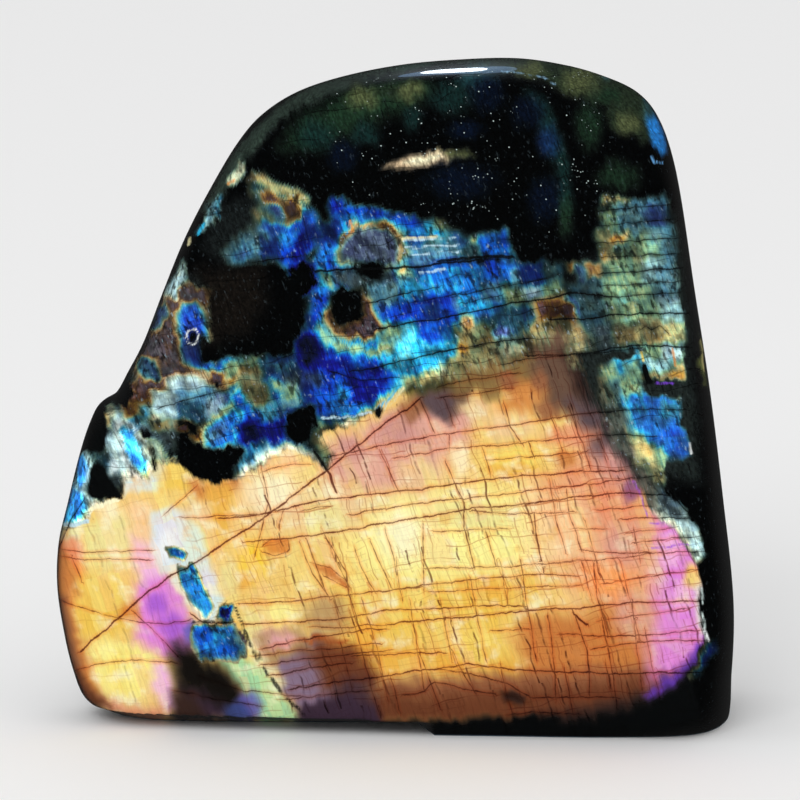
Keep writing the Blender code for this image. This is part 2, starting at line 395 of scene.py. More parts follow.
# %% The ramp, and where the colour names stand on it: level, gain, purity
RAMP = (
    (0.0, "black"), (0.5, "night"), (1.1, "navy"), (1.6, "indigo"), (2.2, "royal"), (2.8, "blue"),
    (3.3, "azure"), (3.8, "cyan"), (4.25, "aqua"), (4.6, "mint"), (4.95, "straw"), (5.35, "amber"),
    (5.8, "brown"), (6.3, "mauve"), (7.0, "grey"),
)
RAMP_TOP = 7.0
LEVELS = {
    "shade": (4.4, 0.0, 0.8), "sky": (3.6, 0.85, 0.7), "flare": (3.4, 1.6, 0.95),
    "heather": (3.1, 0.72, 0.3), "glare": (3.8, 1.35, 1), "sea": (3.9, 0.75, 0.9),
    "ice": (4.1, 1.15, 0.6), "mint": (4.55, 0.95, 1), "leaf": (4.6, 0.8, 1), "pistachio": (4.75, 0.8, 1),
    "cream": (4.95, 0.95, 1), "yellow": (5.15, 1, 1), "orange": (5.45, 0.95, 1), "ochre": (5.3, 0.8, 1),
    "tan": (5.3, 0.72, 0.6), "brown": (5.75, 1, 1), "umber": (5.9, 0.75, 0.9), "rust": (5.6, 0.9, 1),
    "stone": (6.9, 0.65, 1), "lavender": (2.5, 1.6, 0.35), "teal": (3.95, 0.7, 0.7),
    "petrol": (3.5, 0.45, 0.8), "slate": (3.9, 0.38, 0.4), "fern": (4.6, 0.58, 1),
    "olive": (5.0, 0.42, 1), "reed": (5.0, 0.62, 1), "white": (4.3, 1.3, 0.2), "lime": (4.9, 0.78, 1),
    "denim": (2.7, 0.6, 0.6), "smoke": (6.2, 0.6, 0.8), "dusk": (2.2, 0.45, 0.9),
    "lagoon": (4.0, 0.36, 0.8), "steel": (3.75, 0.92, 0.35), "sand": (5.1, 0.85, 0.7),
    "coral": (5.5, 1, 0.8), "bark": (5.8, 0.4, 1), "blood": (5.65, 0.5, 1), "plum": (6.2, 0.4, 1),
    "chartreuse": (4.85, 0.85, 1), "ivory": (4.7, 1, 0.6), "iris": (2.6, 0.7, 0.6),
    "mulberry": (6.2, 0.9, 1), "pearl": (4.2, 1.2, 0.2), "fog": (6.65, 0.75, 0.9),
    "frost": (4.2, 1.25, 0.4),
}
LEVELS.update({name: (level, 1, 1) for level, name in RAMP if name not in LEVELS})
print("levels:", len(LEVELS), "names")

# %% [markdown]
# The drawing is kept as plain lists that can be read aloud: "azure 4: 628,397 688,399 690,430" is an
# azure patch with an edge four units soft, and its corners as u,v. For a stroke the number is the
# width. A box is shorter still: a name, then left, right, top and bottom. One outline stands on
# each line, and a backslash joins the halves of a long one.

# %% Reading the lists
def corners_of(text):
    """The corners of one outline, as rows of u and v."""
    return np.array([pair.split(",") for pair in text.split()], float)


def words_of(text):
    """Splits at blanks, and turns what begins with a digit into a number."""
    return [float(word) if word[0].isdigit() else word for word in text.split()]


def outlines(text):
    """One outline to a line: its name, its softness or width, a colon, and its corners."""
    rows = [line.rpartition(":") for line in text.strip().splitlines()]
    return [(*words_of(head), corners_of(corners)) for head, _, corners in rows]


def boxes(text):
    """Boxes between commas: a name, then left, right, top and bottom."""
    return [tuple(words_of(box)) for box in text.split(",")]


print("an outline reads as:", outlines("azure 4: 628,397 688,399 690,430")[0][:2])

# %% [markdown]
# The ground comes first: broad areas with soft edges. The top of the stone is nearly black with
# faint olive and blue hazes, the middle is dark blue-grey, and the lower half is the gold field,
# which turns to salmon on the right, to magenta at the right edge and to pink on the left lobe.
# Some of the ground is painted light: a highlight on the lip of the top hollow, a glow round the
# ridge glint and a pale yellow streak on the right edge, and shade that darkens the gold towards
# the foot and along the left rim.

# %% The gold field: its outline, the blue patches cut out of it, and where its border is soft
GOLD_FIELD = corners_of(
    "30,560 44,530 64,527 84,520 100,504 118,497 124,484 132,476 148,478 154,466 160,461 170,463 182,466 "
    "192,476 206,481 228,479 242,477 256,470 267,459 282,448 298,450 312,460 326,466 332,456 318,440 "
    "330,430 345,425 366,414 384,400 410,388 440,376 470,364 498,361 520,354 534,343 546,330 560,328 "
    "572,340 580,366 590,392 602,412 614,436 630,462 642,488 650,506 664,520 678,534 688,550 699,566 "
    "702,584 700,600 702,620 704,642 698,656 690,672 700,700 700,760 30,760"
)
GOLD_CUTS = outlines("""
166,549 185,547 189,555 178,560 169,560
177,565 192,563 201,580 211,596 213,611 205,619 196,612 184,592
219,609 225,604 229,609 232,602 236,610 233,618 237,625 229,624 224,628 222,620 217,618
192,627 205,621 232,624 247,640 247,656 232,660 196,660 190,644
""")
SOFT_BORDER = corners_of("420,440 400,380 520,310 600,320 660,440 680,500 620,500 560,430 480,430")

# %% Ground: soft areas and soft ovals, under the flash and within the gold field
# The sand, ivory and khaki areas under the top hollow are a painted highlight: the glint on the hollow's
# lower lip. The narrow lime area at the right edge is a painted highlight too.
HAZE_AREAS = outlines("""
forest 14: 280,150 300,118 345,90 400,78 432,84 430,98 390,116 350,134 310,150
bevel 5: 190,215 230,150 265,118 300,88 345,68 400,54 440,50 440,64 400,74 360,82 330,93 300,108 270,130 \
245,160 214,206
moss 6: 440,50 500,46 545,50 590,62 624,78 644,92 640,100 612,92 604,104 580,98 552,84 530,79 500,71 \
470,66 440,64
moss 6: 608,92 640,92 652,112 656,136 648,146 632,134 612,130 606,112
spruce 7: 526,90 542,96 556,120 568,160 572,210 556,214 556,170 546,140 534,112
lime 3: 697,334 703,346 707,370 709,390 704,388 700,362
azure 3: 642,98 652,108 664,130 669,150 664,154 654,146 646,126
sand 4: 383,166 396,161 410,155 428,151 446,151 462,156 450,161 430,165 408,169 392,169
ivory 4: 404,162 418,155 438,154 442,158 416,165
khaki 5: 440,151 466,151 474,156 452,160
soot 14: 196,270 262,264 268,300 250,330 205,345
smut 10: 215,205 300,190 312,215 290,240 250,240 225,262 205,250
grime 10: 150,270 200,280 205,330 180,380 140,390 130,340
grime 12: 575,270 690,200 700,480 610,480 570,350
""")
# The lagoon oval on the ridge, from u 456 to 500, is a painted glow round the ridge glint.
HAZE_OVALS = boxes("""
khaki 344 380 84 112, spruce 296 336 118 152, spruce 350 382 122 148, abyss 326 360 140 172,
moss 376 420 82 100, spruce 400 424 104 130, spruce 430 476 78 116, lagoon 456 500 62 90,
abyss 470 506 74 114, abyss 510 544 94 130, dusk 536 560 122 160, abyss 424 498 160 200,
abyss 448 484 118 140, abyss 526 562 176 224, forest 556 576 196 240, forest 574 604 100 150,
forest 596 620 88 104, teal 600 612 64 82, khaki 616 642 110 136, khaki 560 600 64 96,
forest 596 640 160 190, sage 638 656 96 120, sage 380 440 56 72, khaki 398 426 80 102, khaki 510 548 62 80
""")
# The caramel, amber, brown, cocoa, bark and black bands at the bottom are painted shade: the gold darkens
# towards the foot, where the face rolls under. The caramel, brown and cocoa areas at the far left are
# painted shade along the left rim.
GOLD_AREAS = outlines("""
buff 22: 240,490 330,478 440,500 420,530 330,530 250,520
salmon 14: 328,480 322,452 350,428 400,412 450,400 480,402 470,440 440,470 420,492 370,490
coral 26: 540,482 590,440 630,470 650,500 655,570 640,640 590,600 560,560
peach 18: 510,500 580,490 600,560 520,570
lemon 26: 385,500 440,488 520,490 535,560 470,580 420,590 360,580 350,540
honey 24: 340,590 540,580 520,636 340,650
caramel 16: 520,616 650,604 656,690 520,690
amber 14: 340,646 520,652 520,680 340,672
brown 12: 380,680 530,674 650,664 670,700 520,712 380,700
cocoa 12: 330,688 430,694 520,688 600,684 660,670 690,700 600,722 330,726
magenta 18: 656,508 700,514 722,560 720,640 706,668 676,686 654,684 648,650 650,610 656,566
apricot 9: 40,560 62,530 84,530 84,566 74,600 50,620
straw 10: 84,524 140,512 142,560 110,572 84,560
honey 12: 70,576 130,580 136,620 110,640 76,640
lemon 10: 82,650 110,640 150,644 164,676 140,700 104,690
peach 8: 128,506 150,506 154,544 134,548
pink 8: 134,540 154,544 160,562 176,596 150,600 134,566
magenta 9: 134,584 170,572 190,606 194,650 184,664 160,652 136,640
pink 6: 152,660 166,664 178,708 164,716 152,690
buff 8: 96,696 140,704 166,716 130,724 100,708
mauve 8: 270,648 320,634 340,680 330,716 300,712 276,682
rose 6: 250,630 286,628 288,650 262,656
cream 6: 250,652 270,656 286,680 276,690 258,672
tan 8: 250,634 300,628 312,650 270,664
frost 4: 150,512 160,508 172,506 190,512 204,530 207,556 216,578 222,600 216,620 200,623 188,606 176,586 \
160,572 152,548
mint 5: 214,656 242,655 264,672 286,700 300,722 262,724 248,696 230,674
plum 13: 176,676 226,680 244,696 240,724 176,724
soot 12: 172,640 190,646 204,659 220,664 232,676 243,696 248,712 220,706 202,692 184,690 172,668
umber 8: 412,400 428,384 458,366 472,384 466,410 450,420 436,412 416,410
orange 2.5: 264,546 270,540 288,538 290,550 276,557 264,553
orange 2.5: 239,572 249,573 251,586 240,590
caramel 3: 313,563 330,568 346,580 350,588 338,584 324,576
bark 4: 322,662 330,658 337,664 335,673 326,674
plum 6: 296,704 340,696 376,704 384,728 296,728
bark 9: 172,690 196,694 208,720 174,724
bark 4: 505,694 515,692 525,698 521,706 508,704
rust 3: 300,640 330,634 348,640 330,645
bronze 7: 402,386 440,373 476,366 480,384 440,391 410,397
smoke 7: 420,397 444,392 456,404 450,422 430,418
drab 8: 440,366 500,340 536,330 540,384 520,390 480,388 456,394
umber 10: 528,344 546,318 566,318 584,366 602,408 580,416 548,408 534,388
bark 8: 560,350 574,340 582,366 592,392 600,410 578,396
orchid 12: 574,418 606,424 634,466 640,490 610,484 586,450
smoke 12: 566,398 602,402 618,440 600,454 580,440
plum 7: 604,414 618,428 650,486 652,496 634,478 614,448
bark 9: 520,716 600,704 650,690 700,650 740,680 740,760 500,760
purple 6: 701,640 705,652 690,670 672,688 652,702 645,695 664,681 684,661
black 8: 540,726 600,716 650,702 676,682 690,664 720,640 740,760 520,760
black 5: 340,723 420,721 520,717 560,716 560,760 340,760
pearl 4: 668,510 690,514 702,528 710,564 698,560 688,544 674,528
caramel 8: 40,590 68,588 80,634 92,664 100,700 60,700 50,640
cream 5: 56,524 80,522 80,540 58,544
coral 7: 98,698 130,704 168,710 164,722 110,714
brown 6: 40,590 64,592 74,640 84,666 60,666
caramel 8: 40,546 72,550 78,592 40,596
pearl 4: 694,576 706,580 706,628 700,640 696,610
frost 4: 122,468 156,466 158,490 124,494
cream 4: 150,436 162,436 166,478 152,476
honey 5: 164,446 184,462 192,488 166,488
cocoa 7: 84,676 92,690 110,704 98,712 70,690 72,660
cocoa 9: 318,648 372,650 380,690 322,690
caramel 6: 186,478 206,484 226,480 242,470 244,486 222,500 196,498
""")
GOLD_OVALS = boxes("""
ivory 240 300 466 514, lemon 478 522 518 566, sun 236 268 540 586, ivory 376 426 508 566,
amber 232 256 570 592, amber 458 516 574 604, caramel 512 574 616 656, yellow 452 504 632 664,
amber 352 384 612 664, tan 300 354 594 640, cocoa 300 360 640 672, plum 328 378 676 722,
yellow 480 546 446 476, amber 484 544 462 476, honey 456 510 640 664, orchid 376 422 412 450,
ivory 452 470 444 480, buff 396 444 460 486, buff 456 492 396 420, orange 492 532 396 418,
caramel 500 548 378 410, orange 118 142 598 622, brown 532 562 398 420, brown 496 520 372 392,
brown 398 424 398 424, caramel 556 576 452 470, brown 530 548 368 392, mulberry 622 640 480 504,
pink 654 684 534 568, drab 480 502 380 402, ivory 98 124 500 522, yellow 102 150 648 696,
lemon 120 142 662 686, ivory 320 342 478 506, salmon 612 652 590 642, violet 158 188 610 640,
violet 148 170 590 616, coral 64 84 536 562, amber 200 240 480 510, straw 425 520 500 530,
straw 300 350 500 540, orchid 338 366 438 462, salmon 600 650 520 570, buff 176 214 500 526,
coral 540 600 424 448, buff 480 540 408 440, apricot 575 640 560 600, straw 216 240 560 600,
iris 234 262 690 722, denim 224 250 700 724, amber 210 236 500 540, pearl 150 186 508 570,
white 156 182 530 566, pearl 196 216 566 600, rose 264 300 632 650, ice 168 188 550 566,
lemon 260 300 600 626, yellow 682 704 562 586, pink 672 692 580 612, straw 240 262 610 640,
salmon 250 272 446 470, iris 183 199 620 646, peach 270 310 452 476
""")
print("ground:", len(HAZE_AREAS + HAZE_OVALS), "hazes,", len(GOLD_AREAS + GOLD_OVALS), "golds")

# %% [markdown]
# Over the ground lie the flashes with sharp edges. Most are blocks: their upper and lower edges
# follow the layers, which rise a little to the right, and their sides follow the steep fibres.

# %% Bases under the blocks
FLASH_BASES = outlines("""
petrol 12: 440,400 320,330 315,230 345,212 470,238 510,262 560,262 560,330 500,352 452,380
royal 9: 300,340 318,262 334,215 430,222 470,246 500,262 520,300 440,330 400,400 330,410
lagoon 9: 572,290 600,260 602,205 640,198 668,205 682,260 688,350 686,380 640,384 600,350 576,345
lagoon 9: 600,388 640,380 684,396 690,440 668,474 650,476 622,436 604,412
slate 10: 100,440 130,380 160,330 180,380 230,390 240,410 180,430 170,460 160,480 110,490
dusk 9: 215,375 300,345 330,340 340,420 300,440 250,425 225,400
""")

# %% Blocks
UPPER_LEFT_BLOCKS = boxes("""
smoke 250 268 175 196, stone 264 296 200 220, olive 252 266 210 226, slate 262 280 228 258,
mauve 172 200 284 298, bark 203 226 290 302, fern 226 268 353 368, olive 225 266 366 379,
smoke 206 226 374 392, ice 154 171 391 405, tan 246 268 376 408, leaf 271 284 378 392,
straw 281 291 393 405, sea 291 303 388 403, steel 199 227 398 414, petrol 262 300 358 372,
rust 226 240 372 386, slate 284 302 372 388
""")
CENTRE_BLOCKS = boxes("""
indigo 329 346 198 214, sky 404 462 240 264, olive 424 447 222 242, indigo 398 420 217 230,
blue 476 512 232 260, lime 471 480 234 256, azure 312 322 270 296, leaf 322 335 268 292,
slate 335 352 272 286, slate 351 398 270 298, stone 369 396 286 300, amber 399 413 268 286,
sky 404 422 276 300, azure 418 492 266 300, azure 410 500 298 318, blue 490 530 262 286,
royal 378 412 300 322, steel 439 456 300 314, royal 305 386 340 412, indigo 322 350 345 372,
navy 345 386 371 384, mint 380 404 333 362, cyan 396 432 322 378, azure 426 458 318 356,
sea 418 440 356 380, teal 436 456 360 382, fern 404 440 376 388, coral 462 476 316 334,
leaf 386 402 364 382, fern 500 562 279 306, steel 523 540 283 298, petrol 502 540 306 342,
reed 456 500 326 350, pistachio 470 486 332 342, lavender 496 510 328 340, ochre 530 546 322 344,
ochre 540 552 306 320, umber 540 576 296 350, brown 546 558 300 336, smoke 558 580 306 344,
blood 567 581 261 272, denim 578 591 264 284, umber 584 602 264 280, azure 501 526 342 356,
fern 501 528 355 364, reed 446 500 350 384, umber 470 500 360 384, umber 500 542 362 386,
umber 528 580 352 372, stone 346 372 232 262, teal 510 530 268 282, lagoon 530 560 262 280,
mulberry 456 470 344 356, blue 318 380 386 414, azure 330 372 396 410, slate 420 446 388 402
""")
RIGHT_BLOCKS = boxes("""
reed 600 630 196 205, fern 600 624 206 232, teal 624 668 198 212, sky 620 642 206 226,
denim 640 666 208 226, teal 622 650 222 235, denim 650 666 222 238, reed 597 614 230 262,
brown 610 630 234 248, iris 614 634 244 259, reed 634 656 236 256, rust 600 616 252 262,
denim 660 680 244 264, leaf 610 634 260 292, lagoon 575 606 284 346, iris 566 578 296 316,
lime 612 630 288 324, lavender 652 682 292 320, olive 613 646 322 346, sand 650 688 324 346,
steel 664 682 312 326, blood 640 652 326 338, slate 596 612 322 349, cyan 610 642 350 376,
ice 620 640 352 362, cyan 642 676 350 374, leaf 652 682 352 372, yellow 676 685 348 378,
leaf 608 642 376 392, reed 640 684 370 379, slate 604 630 390 412, sea 620 652 388 406,
azure 624 656 396 440, azure 626 686 396 432, blue 652 692 424 460, ochre 680 692 392 416,
lime 630 652 440 470, yellow 638 652 446 466, leaf 650 664 440 462, reed 648 668 466 484,
slate 604 630 412 460, steel 648 690 490 512, lavender 660 690 506 526, slate 622 650 470 492
""")

LEFT_BLOCKS = boxes("""
ivory 105 113 402 418, amber 104 109 412 428, frost 108 128 436 466, pearl 108 126 460 474,
lagoon 92 106 450 464, sea 123 134 412 426, teal 134 150 406 426, sand 150 176 404 416,
reed 150 172 418 432, bark 142 146 432 452, ivory 146 150 434 470, cream 150 155 440 470,
shade 160 164 440 462, straw 164 169 450 468, shade 169 172 448 466, amber 172 176 456 470,
ice 127 156 470 489, mint 130 152 484 494, royal 233 252 400 430, indigo 236 256 426 446,
royal 258 292 408 428, navy 262 290 424 446, sea 233 290 444 474, cyan 246 262 446 462,
petrol 290 310 440 466, fern 314 331 420 462, petrol 332 345 416 436, ice 340 359 418 426,
azure 76 89 456 484, azure 66 84 490 524, ice 92 108 502 516, olive 254 272 384 408,
denim 302 320 372 386, bark 128 166 382 404, slate 128 150 366 384, steel 166 222 390 422,
teal 136 152 352 366
""")
print("blocks:", len(UPPER_LEFT_BLOCKS + CENTRE_BLOCKS + RIGHT_BLOCKS + LEFT_BLOCKS))

# %% [markdown]
# Other flashes have free shapes: tongues, rings round a pit, patches torn off at a crack. They are
# drawn corner by corner and go over the blocks.

# %% Areas
FLASH_AREAS = outlines("""
smoke 8: 138,300 178,284 215,290 218,360 240,372 205,386 170,382 146,392 132,372
royal 7: 262,222 300,204 314,210 320,222 316,240 304,257 292,278 280,266 272,248 262,236
azure 5: 280,232 298,228 300,240 288,248 280,246
indigo 5: 300,236 312,228 306,250 296,266 290,258
brown 5: 262,214 272,222 286,225 298,220 304,208 300,204 296,214 286,219 274,216 264,208
teal 8: 224,252 234,238 250,230 268,232 276,244 270,260 250,266 230,264
sea 5: 232,250 242,242 252,250 246,260 234,260
sky 4: 234,250 244,244 252,250 244,258 236,258
ivory 2.4: 238,157 245,163 241,174 235,183 229,186 225,180 231,170
lagoon 6: 250,180 262,178 282,192 290,206 296,214 288,222 276,222 262,214 258,202 252,192
umber 4: 258,190 270,188 286,202 280,210 266,206
denim 4: 268,207 288,206 292,215 278,218
chartreuse 2.6: 250,172 262,176 280,183 298,191 310,199 308,205 294,201 276,192 260,183
sky 3: 216,193 221,196 222,208 218,216 214,210
frost 3: 207,211 212,214 212,224 205,222
teal 3: 198,226 204,222 201,233 195,243 193,236
frost 4: 164,288 176,276 182,258 190,262 186,280 178,292 164,297
iris 5: 163,302 166,312 160,325 148,336 145,332 153,318
royal 8: 176,314 184,303 197,304 206,318 208,344 216,354 238,362 226,370 206,370 192,364 182,346 177,330
indigo 6: 190,346 202,344 216,354 222,360 210,364 198,362
sea 4: 140,355 150,358 155,368 152,380 144,385 137,370
azure 3: 144,364 151,366 151,376 145,378
frost 6: 164,378 190,371 206,378 212,396 204,404 180,406
steel 4: 176,384 196,380 204,392 186,398
mint 4: 231,392 237,384 246,390 254,404 252,416 236,414 228,404
royal 6: 234,398 240,392 246,398 250,410 252,430 240,436 232,424
cream 4: 196,444 198,430 208,418 224,407 236,402 242,410 240,432 236,446 220,452 203,450
azure 5: 203,444 206,431 215,421 228,412 238,408 241,420 239,432 234,445 222,449 210,449
sky 5: 205,440 209,430 219,422 228,420 226,430 214,442
bark 4: 172,419 184,415 198,423 202,438 190,441 178,432
frost 4: 108,416 116,412 124,416 134,422 146,446 156,478 158,488 140,490 126,482 120,458 112,436
white 2.6: 112,418 124,420 136,424 148,450 156,480 148,488 134,482 124,458 116,436
cyan 2.6: 119,428 126,423 133,430 140,444 147,460 152,476 147,481 138,473 130,457 123,442
flare 2.2: 119,430 128,428 136,440 143,454 149,466 147,474 139,472 131,456 123,442
cream 3: 146,436 156,440 170,464 178,476 164,478 152,462
frost 4: 150,393 166,388 176,394 174,412 158,414 150,405
sky 4: 176,392 214,386 216,399 196,402 180,402
sea 4: 130,406 146,404 150,418 140,428 132,420
umber 4: 116,396 132,388 136,398 120,410
frost 5: 58,486 76,482 90,494 106,507 96,522 58,530
flare 4: 56,484 74,482 84,496 88,510 83,522 56,526
frost 4: 74,458 88,450 94,462 92,480 86,492 72,490
flare 3: 76,460 86,455 88,466 85,484 76,488
frost 6: 235,479 247,463 259,452 273,445 294,445 308,451 322,461 330,470 325,473 312,464 296,456 274,456 \
262,463 248,480
royal 6: 408,300 446,298 452,320 448,344 430,352 422,334 412,320
leaf 5: 598,366 616,360 624,368 622,388 604,392
umber 5: 126,384 140,378 146,388 134,398
royal 7: 318,262 322,242 332,226 344,216 346,230 336,244 332,262 326,268
azure 8: 318,262 322,245 330,228 338,215 350,207 365,210 380,212 395,216 408,224 425,225 442,232 444,240 \
430,238 404,236 390,222 370,219 350,222 338,234 332,250 326,266
royal 4: 338,214 350,205 366,208 382,210 396,214 404,222 396,224 372,214 350,214
fog 9: 343,234 352,226 372,224 382,219 394,223 402,236 406,252 402,264 385,268 350,268 337,264 339,246
plum 4: 380,222 392,224 398,236 390,240 382,232
bark 4: 366,262 372,248 384,246 388,262
smoke 8: 320,318 330,302 346,290 366,294 376,310 384,328 374,338 352,340 332,334
cyan 7: 384,324 430,318 446,328 448,346 440,364 420,380 396,386 386,366 378,346
azure 5: 340,392 384,372 400,380 398,398 376,412 346,416 334,408
frost 5: 156,544 172,540 190,542 198,562 208,580 220,606 214,618 200,622 186,604 174,582 160,564
blue 4: 164,549 185,546 189,557 177,562 168,560
teal 3: 176,566 180,560 194,560 194,570 180,572
azure 3: 176,574 193,566 203,582 213,603 208,614 201,614 192,600 184,586
night 5: 216,606 232,600 240,612 236,628 220,624
azure 3: 186,567 194,564 205,582 214,603 208,613 202,604 194,588
teal 6: 186,622 234,618 254,654 240,664 190,664
blue 4: 194,627 206,622 232,628 240,650 215,656 197,656
azure 3: 208,630 226,630 230,640 214,644
dusk 7: 704,644 714,640 716,652 702,668 686,684 664,704 654,700 676,682 694,662
slate 6: 634,474 660,488 672,500 664,512 650,510 640,494
frost 6: 656,498 690,504 706,526 710,556 696,562 686,546 672,528 658,514
royal 5: 412,298 450,294 456,316 450,326 432,330 416,324
mint 4: 640,344 684,340 688,360 660,366 642,358
fern 9: 604,250 650,228 668,226 680,262 686,300 684,322 640,326 606,320
leaf 7: 616,262 636,258 650,300 652,322 622,322
teal 8: 648,230 668,226 680,262 684,292 656,296 650,262
steel 6: 656,296 684,292 688,318 664,320
umber 11: 536,348 540,322 546,304 560,300 572,310 578,330 582,352 560,342 548,342
cream 5: 636,328 664,322 688,322 688,343 660,345 640,342
teal 6: 618,204 640,201 642,221 622,224
mint 4: 316,320 332,335 352,344 376,347 392,340 398,326 406,334 398,350 378,358 350,355 328,347 312,332
azure 4: 628,397 688,399 690,430 664,440 640,440 632,420
blue 4: 658,432 690,428 688,454 664,460 654,446
lime 4: 630,434 642,432 652,446 662,466 650,474 636,456
yellow 3: 632,438 644,440 654,464 644,462
mint 3: 650,444 660,446 668,462 662,466
cyan 4: 611,358 640,353 643,369 618,375
ice 4: 644,348 668,350 670,366 652,372 642,362
amber 3: 668,372 681,370 683,378 670,379
indigo 6: 346,377 372,368 387,378 385,394 372,404 352,400
dusk 6: 180,340 198,338 205,352 199,363 183,361
petrol 4: 172,404 204,401 208,420 196,424 176,417
dusk 5: 322,223 336,219 340,232 332,244 322,241
teal 5: 362,283 384,280 398,284 398,304 384,308 366,300
mint 5: 382,322 398,320 400,338 384,340
bark 5: 541,302 560,298 572,306 574,332 558,338 542,330
umber 5: 537,334 580,332 583,352 560,348 539,352
heather 5: 347,238 356,231 374,229 384,226 392,230 398,240 401,254 396,263 382,265 352,265 342,260 343,248
ice 3: 200,228 203,213 210,207 214,213 208,226 203,233
azure 3: 213,200 220,195 223,208 219,216 214,212
teal 6: 496,338 520,334 522,352 504,360
sea 5: 660,402 690,400 690,412 664,416
bark 4: 122,402 138,400 140,415 125,419
mint 6: 622,300 640,300 640,320 624,320
mint 4: 622,384 640,384 640,398 624,398
sea 5: 262,402 278,400 280,418 264,420
dusk 5: 302,222 318,220 320,238 304,240
dusk 5: 422,302 440,300 440,318 424,320
mint 6: 642,242 660,242 660,258 644,260
ivory 3.5: 143,440 158,441 165,460 150,461
frost 3: 660,344 682,344 682,356 662,358
dusk 5: 262,242 278,240 280,258 264,260
cyan 5: 442,342 458,340 460,358 444,360
leaf 5: 282,382 298,380 298,398 284,400
frost 4: 162,402 176,400 178,414 164,418
chartreuse 2.4: 283,184 298,191 303,199 286,193
petrol 4: 142,362 158,360 160,378 144,380
leaf 4: 222,361 240,360 240,380 224,380
dusk 5: 520,262 540,260 542,280 522,282
sky 5: 480,282 500,280 502,300 482,300
glare 5: 398,335 428,330 437,344 421,360 404,362 396,350
royal 5: 420,322 440,319 444,337 430,342 419,338
ice 5: 660,299 682,298 684,320 664,322
cyan 5: 400,282 420,280 422,300 402,302
slate 4: 656,498 672,498 684,512 672,518 660,508
ice 6: 640,262 660,260 662,280 644,282
mint 7: 602,282 618,280 622,298 604,300
teal 4: 202,202 216,200 218,212 208,218
night 5: 240,424 258,420 262,438 244,442
mint 4: 622,361 640,362 640,379 624,380
night 7: 296,332 316,334 322,352 312,370 300,364
teal 4: 280,400 298,396 300,403 290,408 282,416
olive 5: 240,381 258,379 262,398 244,402
lagoon 5: 600,381 619,381 621,400 602,402
mint 4: 642,344 660,342 660,358 644,360
bark 5: 281,202 298,201 300,218 284,220
frost 4: 162,284 178,280 178,298 164,300
glare 6: 420,361 438,359 440,376 424,380
olive 5: 640,323 658,322 660,340 642,342
lagoon 5: 460,243 480,242 482,262 462,262
""")
print("areas:", len(FLASH_AREAS))

# %% [markdown]
# Thin things are strokes: bright slivers between two cracks, the rim of a pit, the ridge under the top
# bevel. The thin steel line on that ridge is a painted highlight, where the glint runs on, and the
# straw stroke at the right edge is a painted highlight too.

# %% Strokes
# The steel stroke on the ridge and the straw stroke at the right edge are painted highlights.
STROKES = outlines("""
cyan 3: 203,223 198,234
cream 2.5: 190,239 189,245
orange 3: 233,180 228,184
white 1.2: 185,338 188,330 195,329 199,336 195,344 188,344 185,337
cyan 3: 344,222 347,233
orange 2: 350,222 353,232
cream 2.5: 401,239 436,236
ice 2: 419,272 446,270
violet 1.6: 634,482 642,500 648,518
violet 1.4: 652,548 690,545
violet 1.2: 650,524 664,523
frost 1.5: 701,588 703,604
frost 2: 702,612 705,626
white 3: 704,630 707,641
cyan 2.5: 378,408 392,396 400,385
cream 2: 382,411 397,398 404,387
ice 2: 322,419 341,417 360,415 373,412
ice 4: 64,524 75,524 87,521
ivory 4: 90,512 103,505 118,500
straw 1.4: 700,340 702,352 705,372
purple 2: 655,384 664,382 672,383
black 2: 192,623 205,620 232,623
black 3: 236,608 240,618 243,626
black 4: 245,631 251,645
black 3.4: 253,650 258,661
black 3: 264,668 268,676
black 4: 273,680 281,691
black 3: 286,697 293,706
black 3: 478,263 486,258 499,259
black 2.4: 486,251 489,262 492,277
black 2: 493,257 503,265
plum 2: 240,632 247,646
black 2: 259,652 262,660
black 2.4: 296,706 303,714
ice 1.2: 404,240 456,238
ice 1.2: 405,247 460,245
ice 1.2: 404,254 462,252
white 2: 690,442 692,453
steel 1: 500,71 522,74 545,79 556,84
sky 2.5: 652,158 655,163 662,162
yellow 1.8: 642,352 644,362
orange 1.8: 672,348 675,366
""")
print("strokes:", len(STROKES))

# %% [markdown]
# In some places no layer faces the eye, and the flash goes out: these are the black pools, with
# torn edges. Chips and pits in the surface are black too, but their edge is sharp.

# %% Black: pools that the flash fades into, and chips with a sharp edge
POOLS = outlines("""
shade 9: 226,272 250,264 285,268 300,276 306,300 302,332 290,350 250,356 226,352 214,342 211,318 208,296
shade 7: 186,240 204,228 220,236 220,258 232,270 206,290 190,280 184,262
shade 5: 222,196 242,190 250,204 242,226 226,232 220,214
black 5: 291,268 304,260 314,266 314,284 304,292 294,286
shade 6: 357,264 382,262 386,276 372,281 359,276
shade 7: 327,296 346,288 360,292 364,312 352,328 336,326
shade 7: 514,206 545,200 576,206 592,222 590,258 580,262 566,260 556,264 540,260 520,262 512,250 508,225
shade 3: 576,352 604,350 634,350 637,355 618,358 580,362
shade 5: 200,338 216,340 222,356 214,364 202,362
shade 3: 642,384 660,379 690,380 694,390 676,396 655,397 644,393
shade 5: 180,434 192,438 204,449 220,451 232,446 241,450 238,462 226,476 210,479 197,470 186,458
shade 2: 176,420 183,418 186,426 180,428
shade 2: 188,424 196,426 198,434 190,434
shade 5: 290,413 302,406 316,408 316,430 306,440 294,442 286,434
shade 4: 664,466 690,462 722,500 722,560 708,562 706,547 702,535 690,515 667,489
shade 4: 664,170 676,220 680,290 685,330 687,380 681,398 682,424 692,440 690,470 730,480 730,170
""")
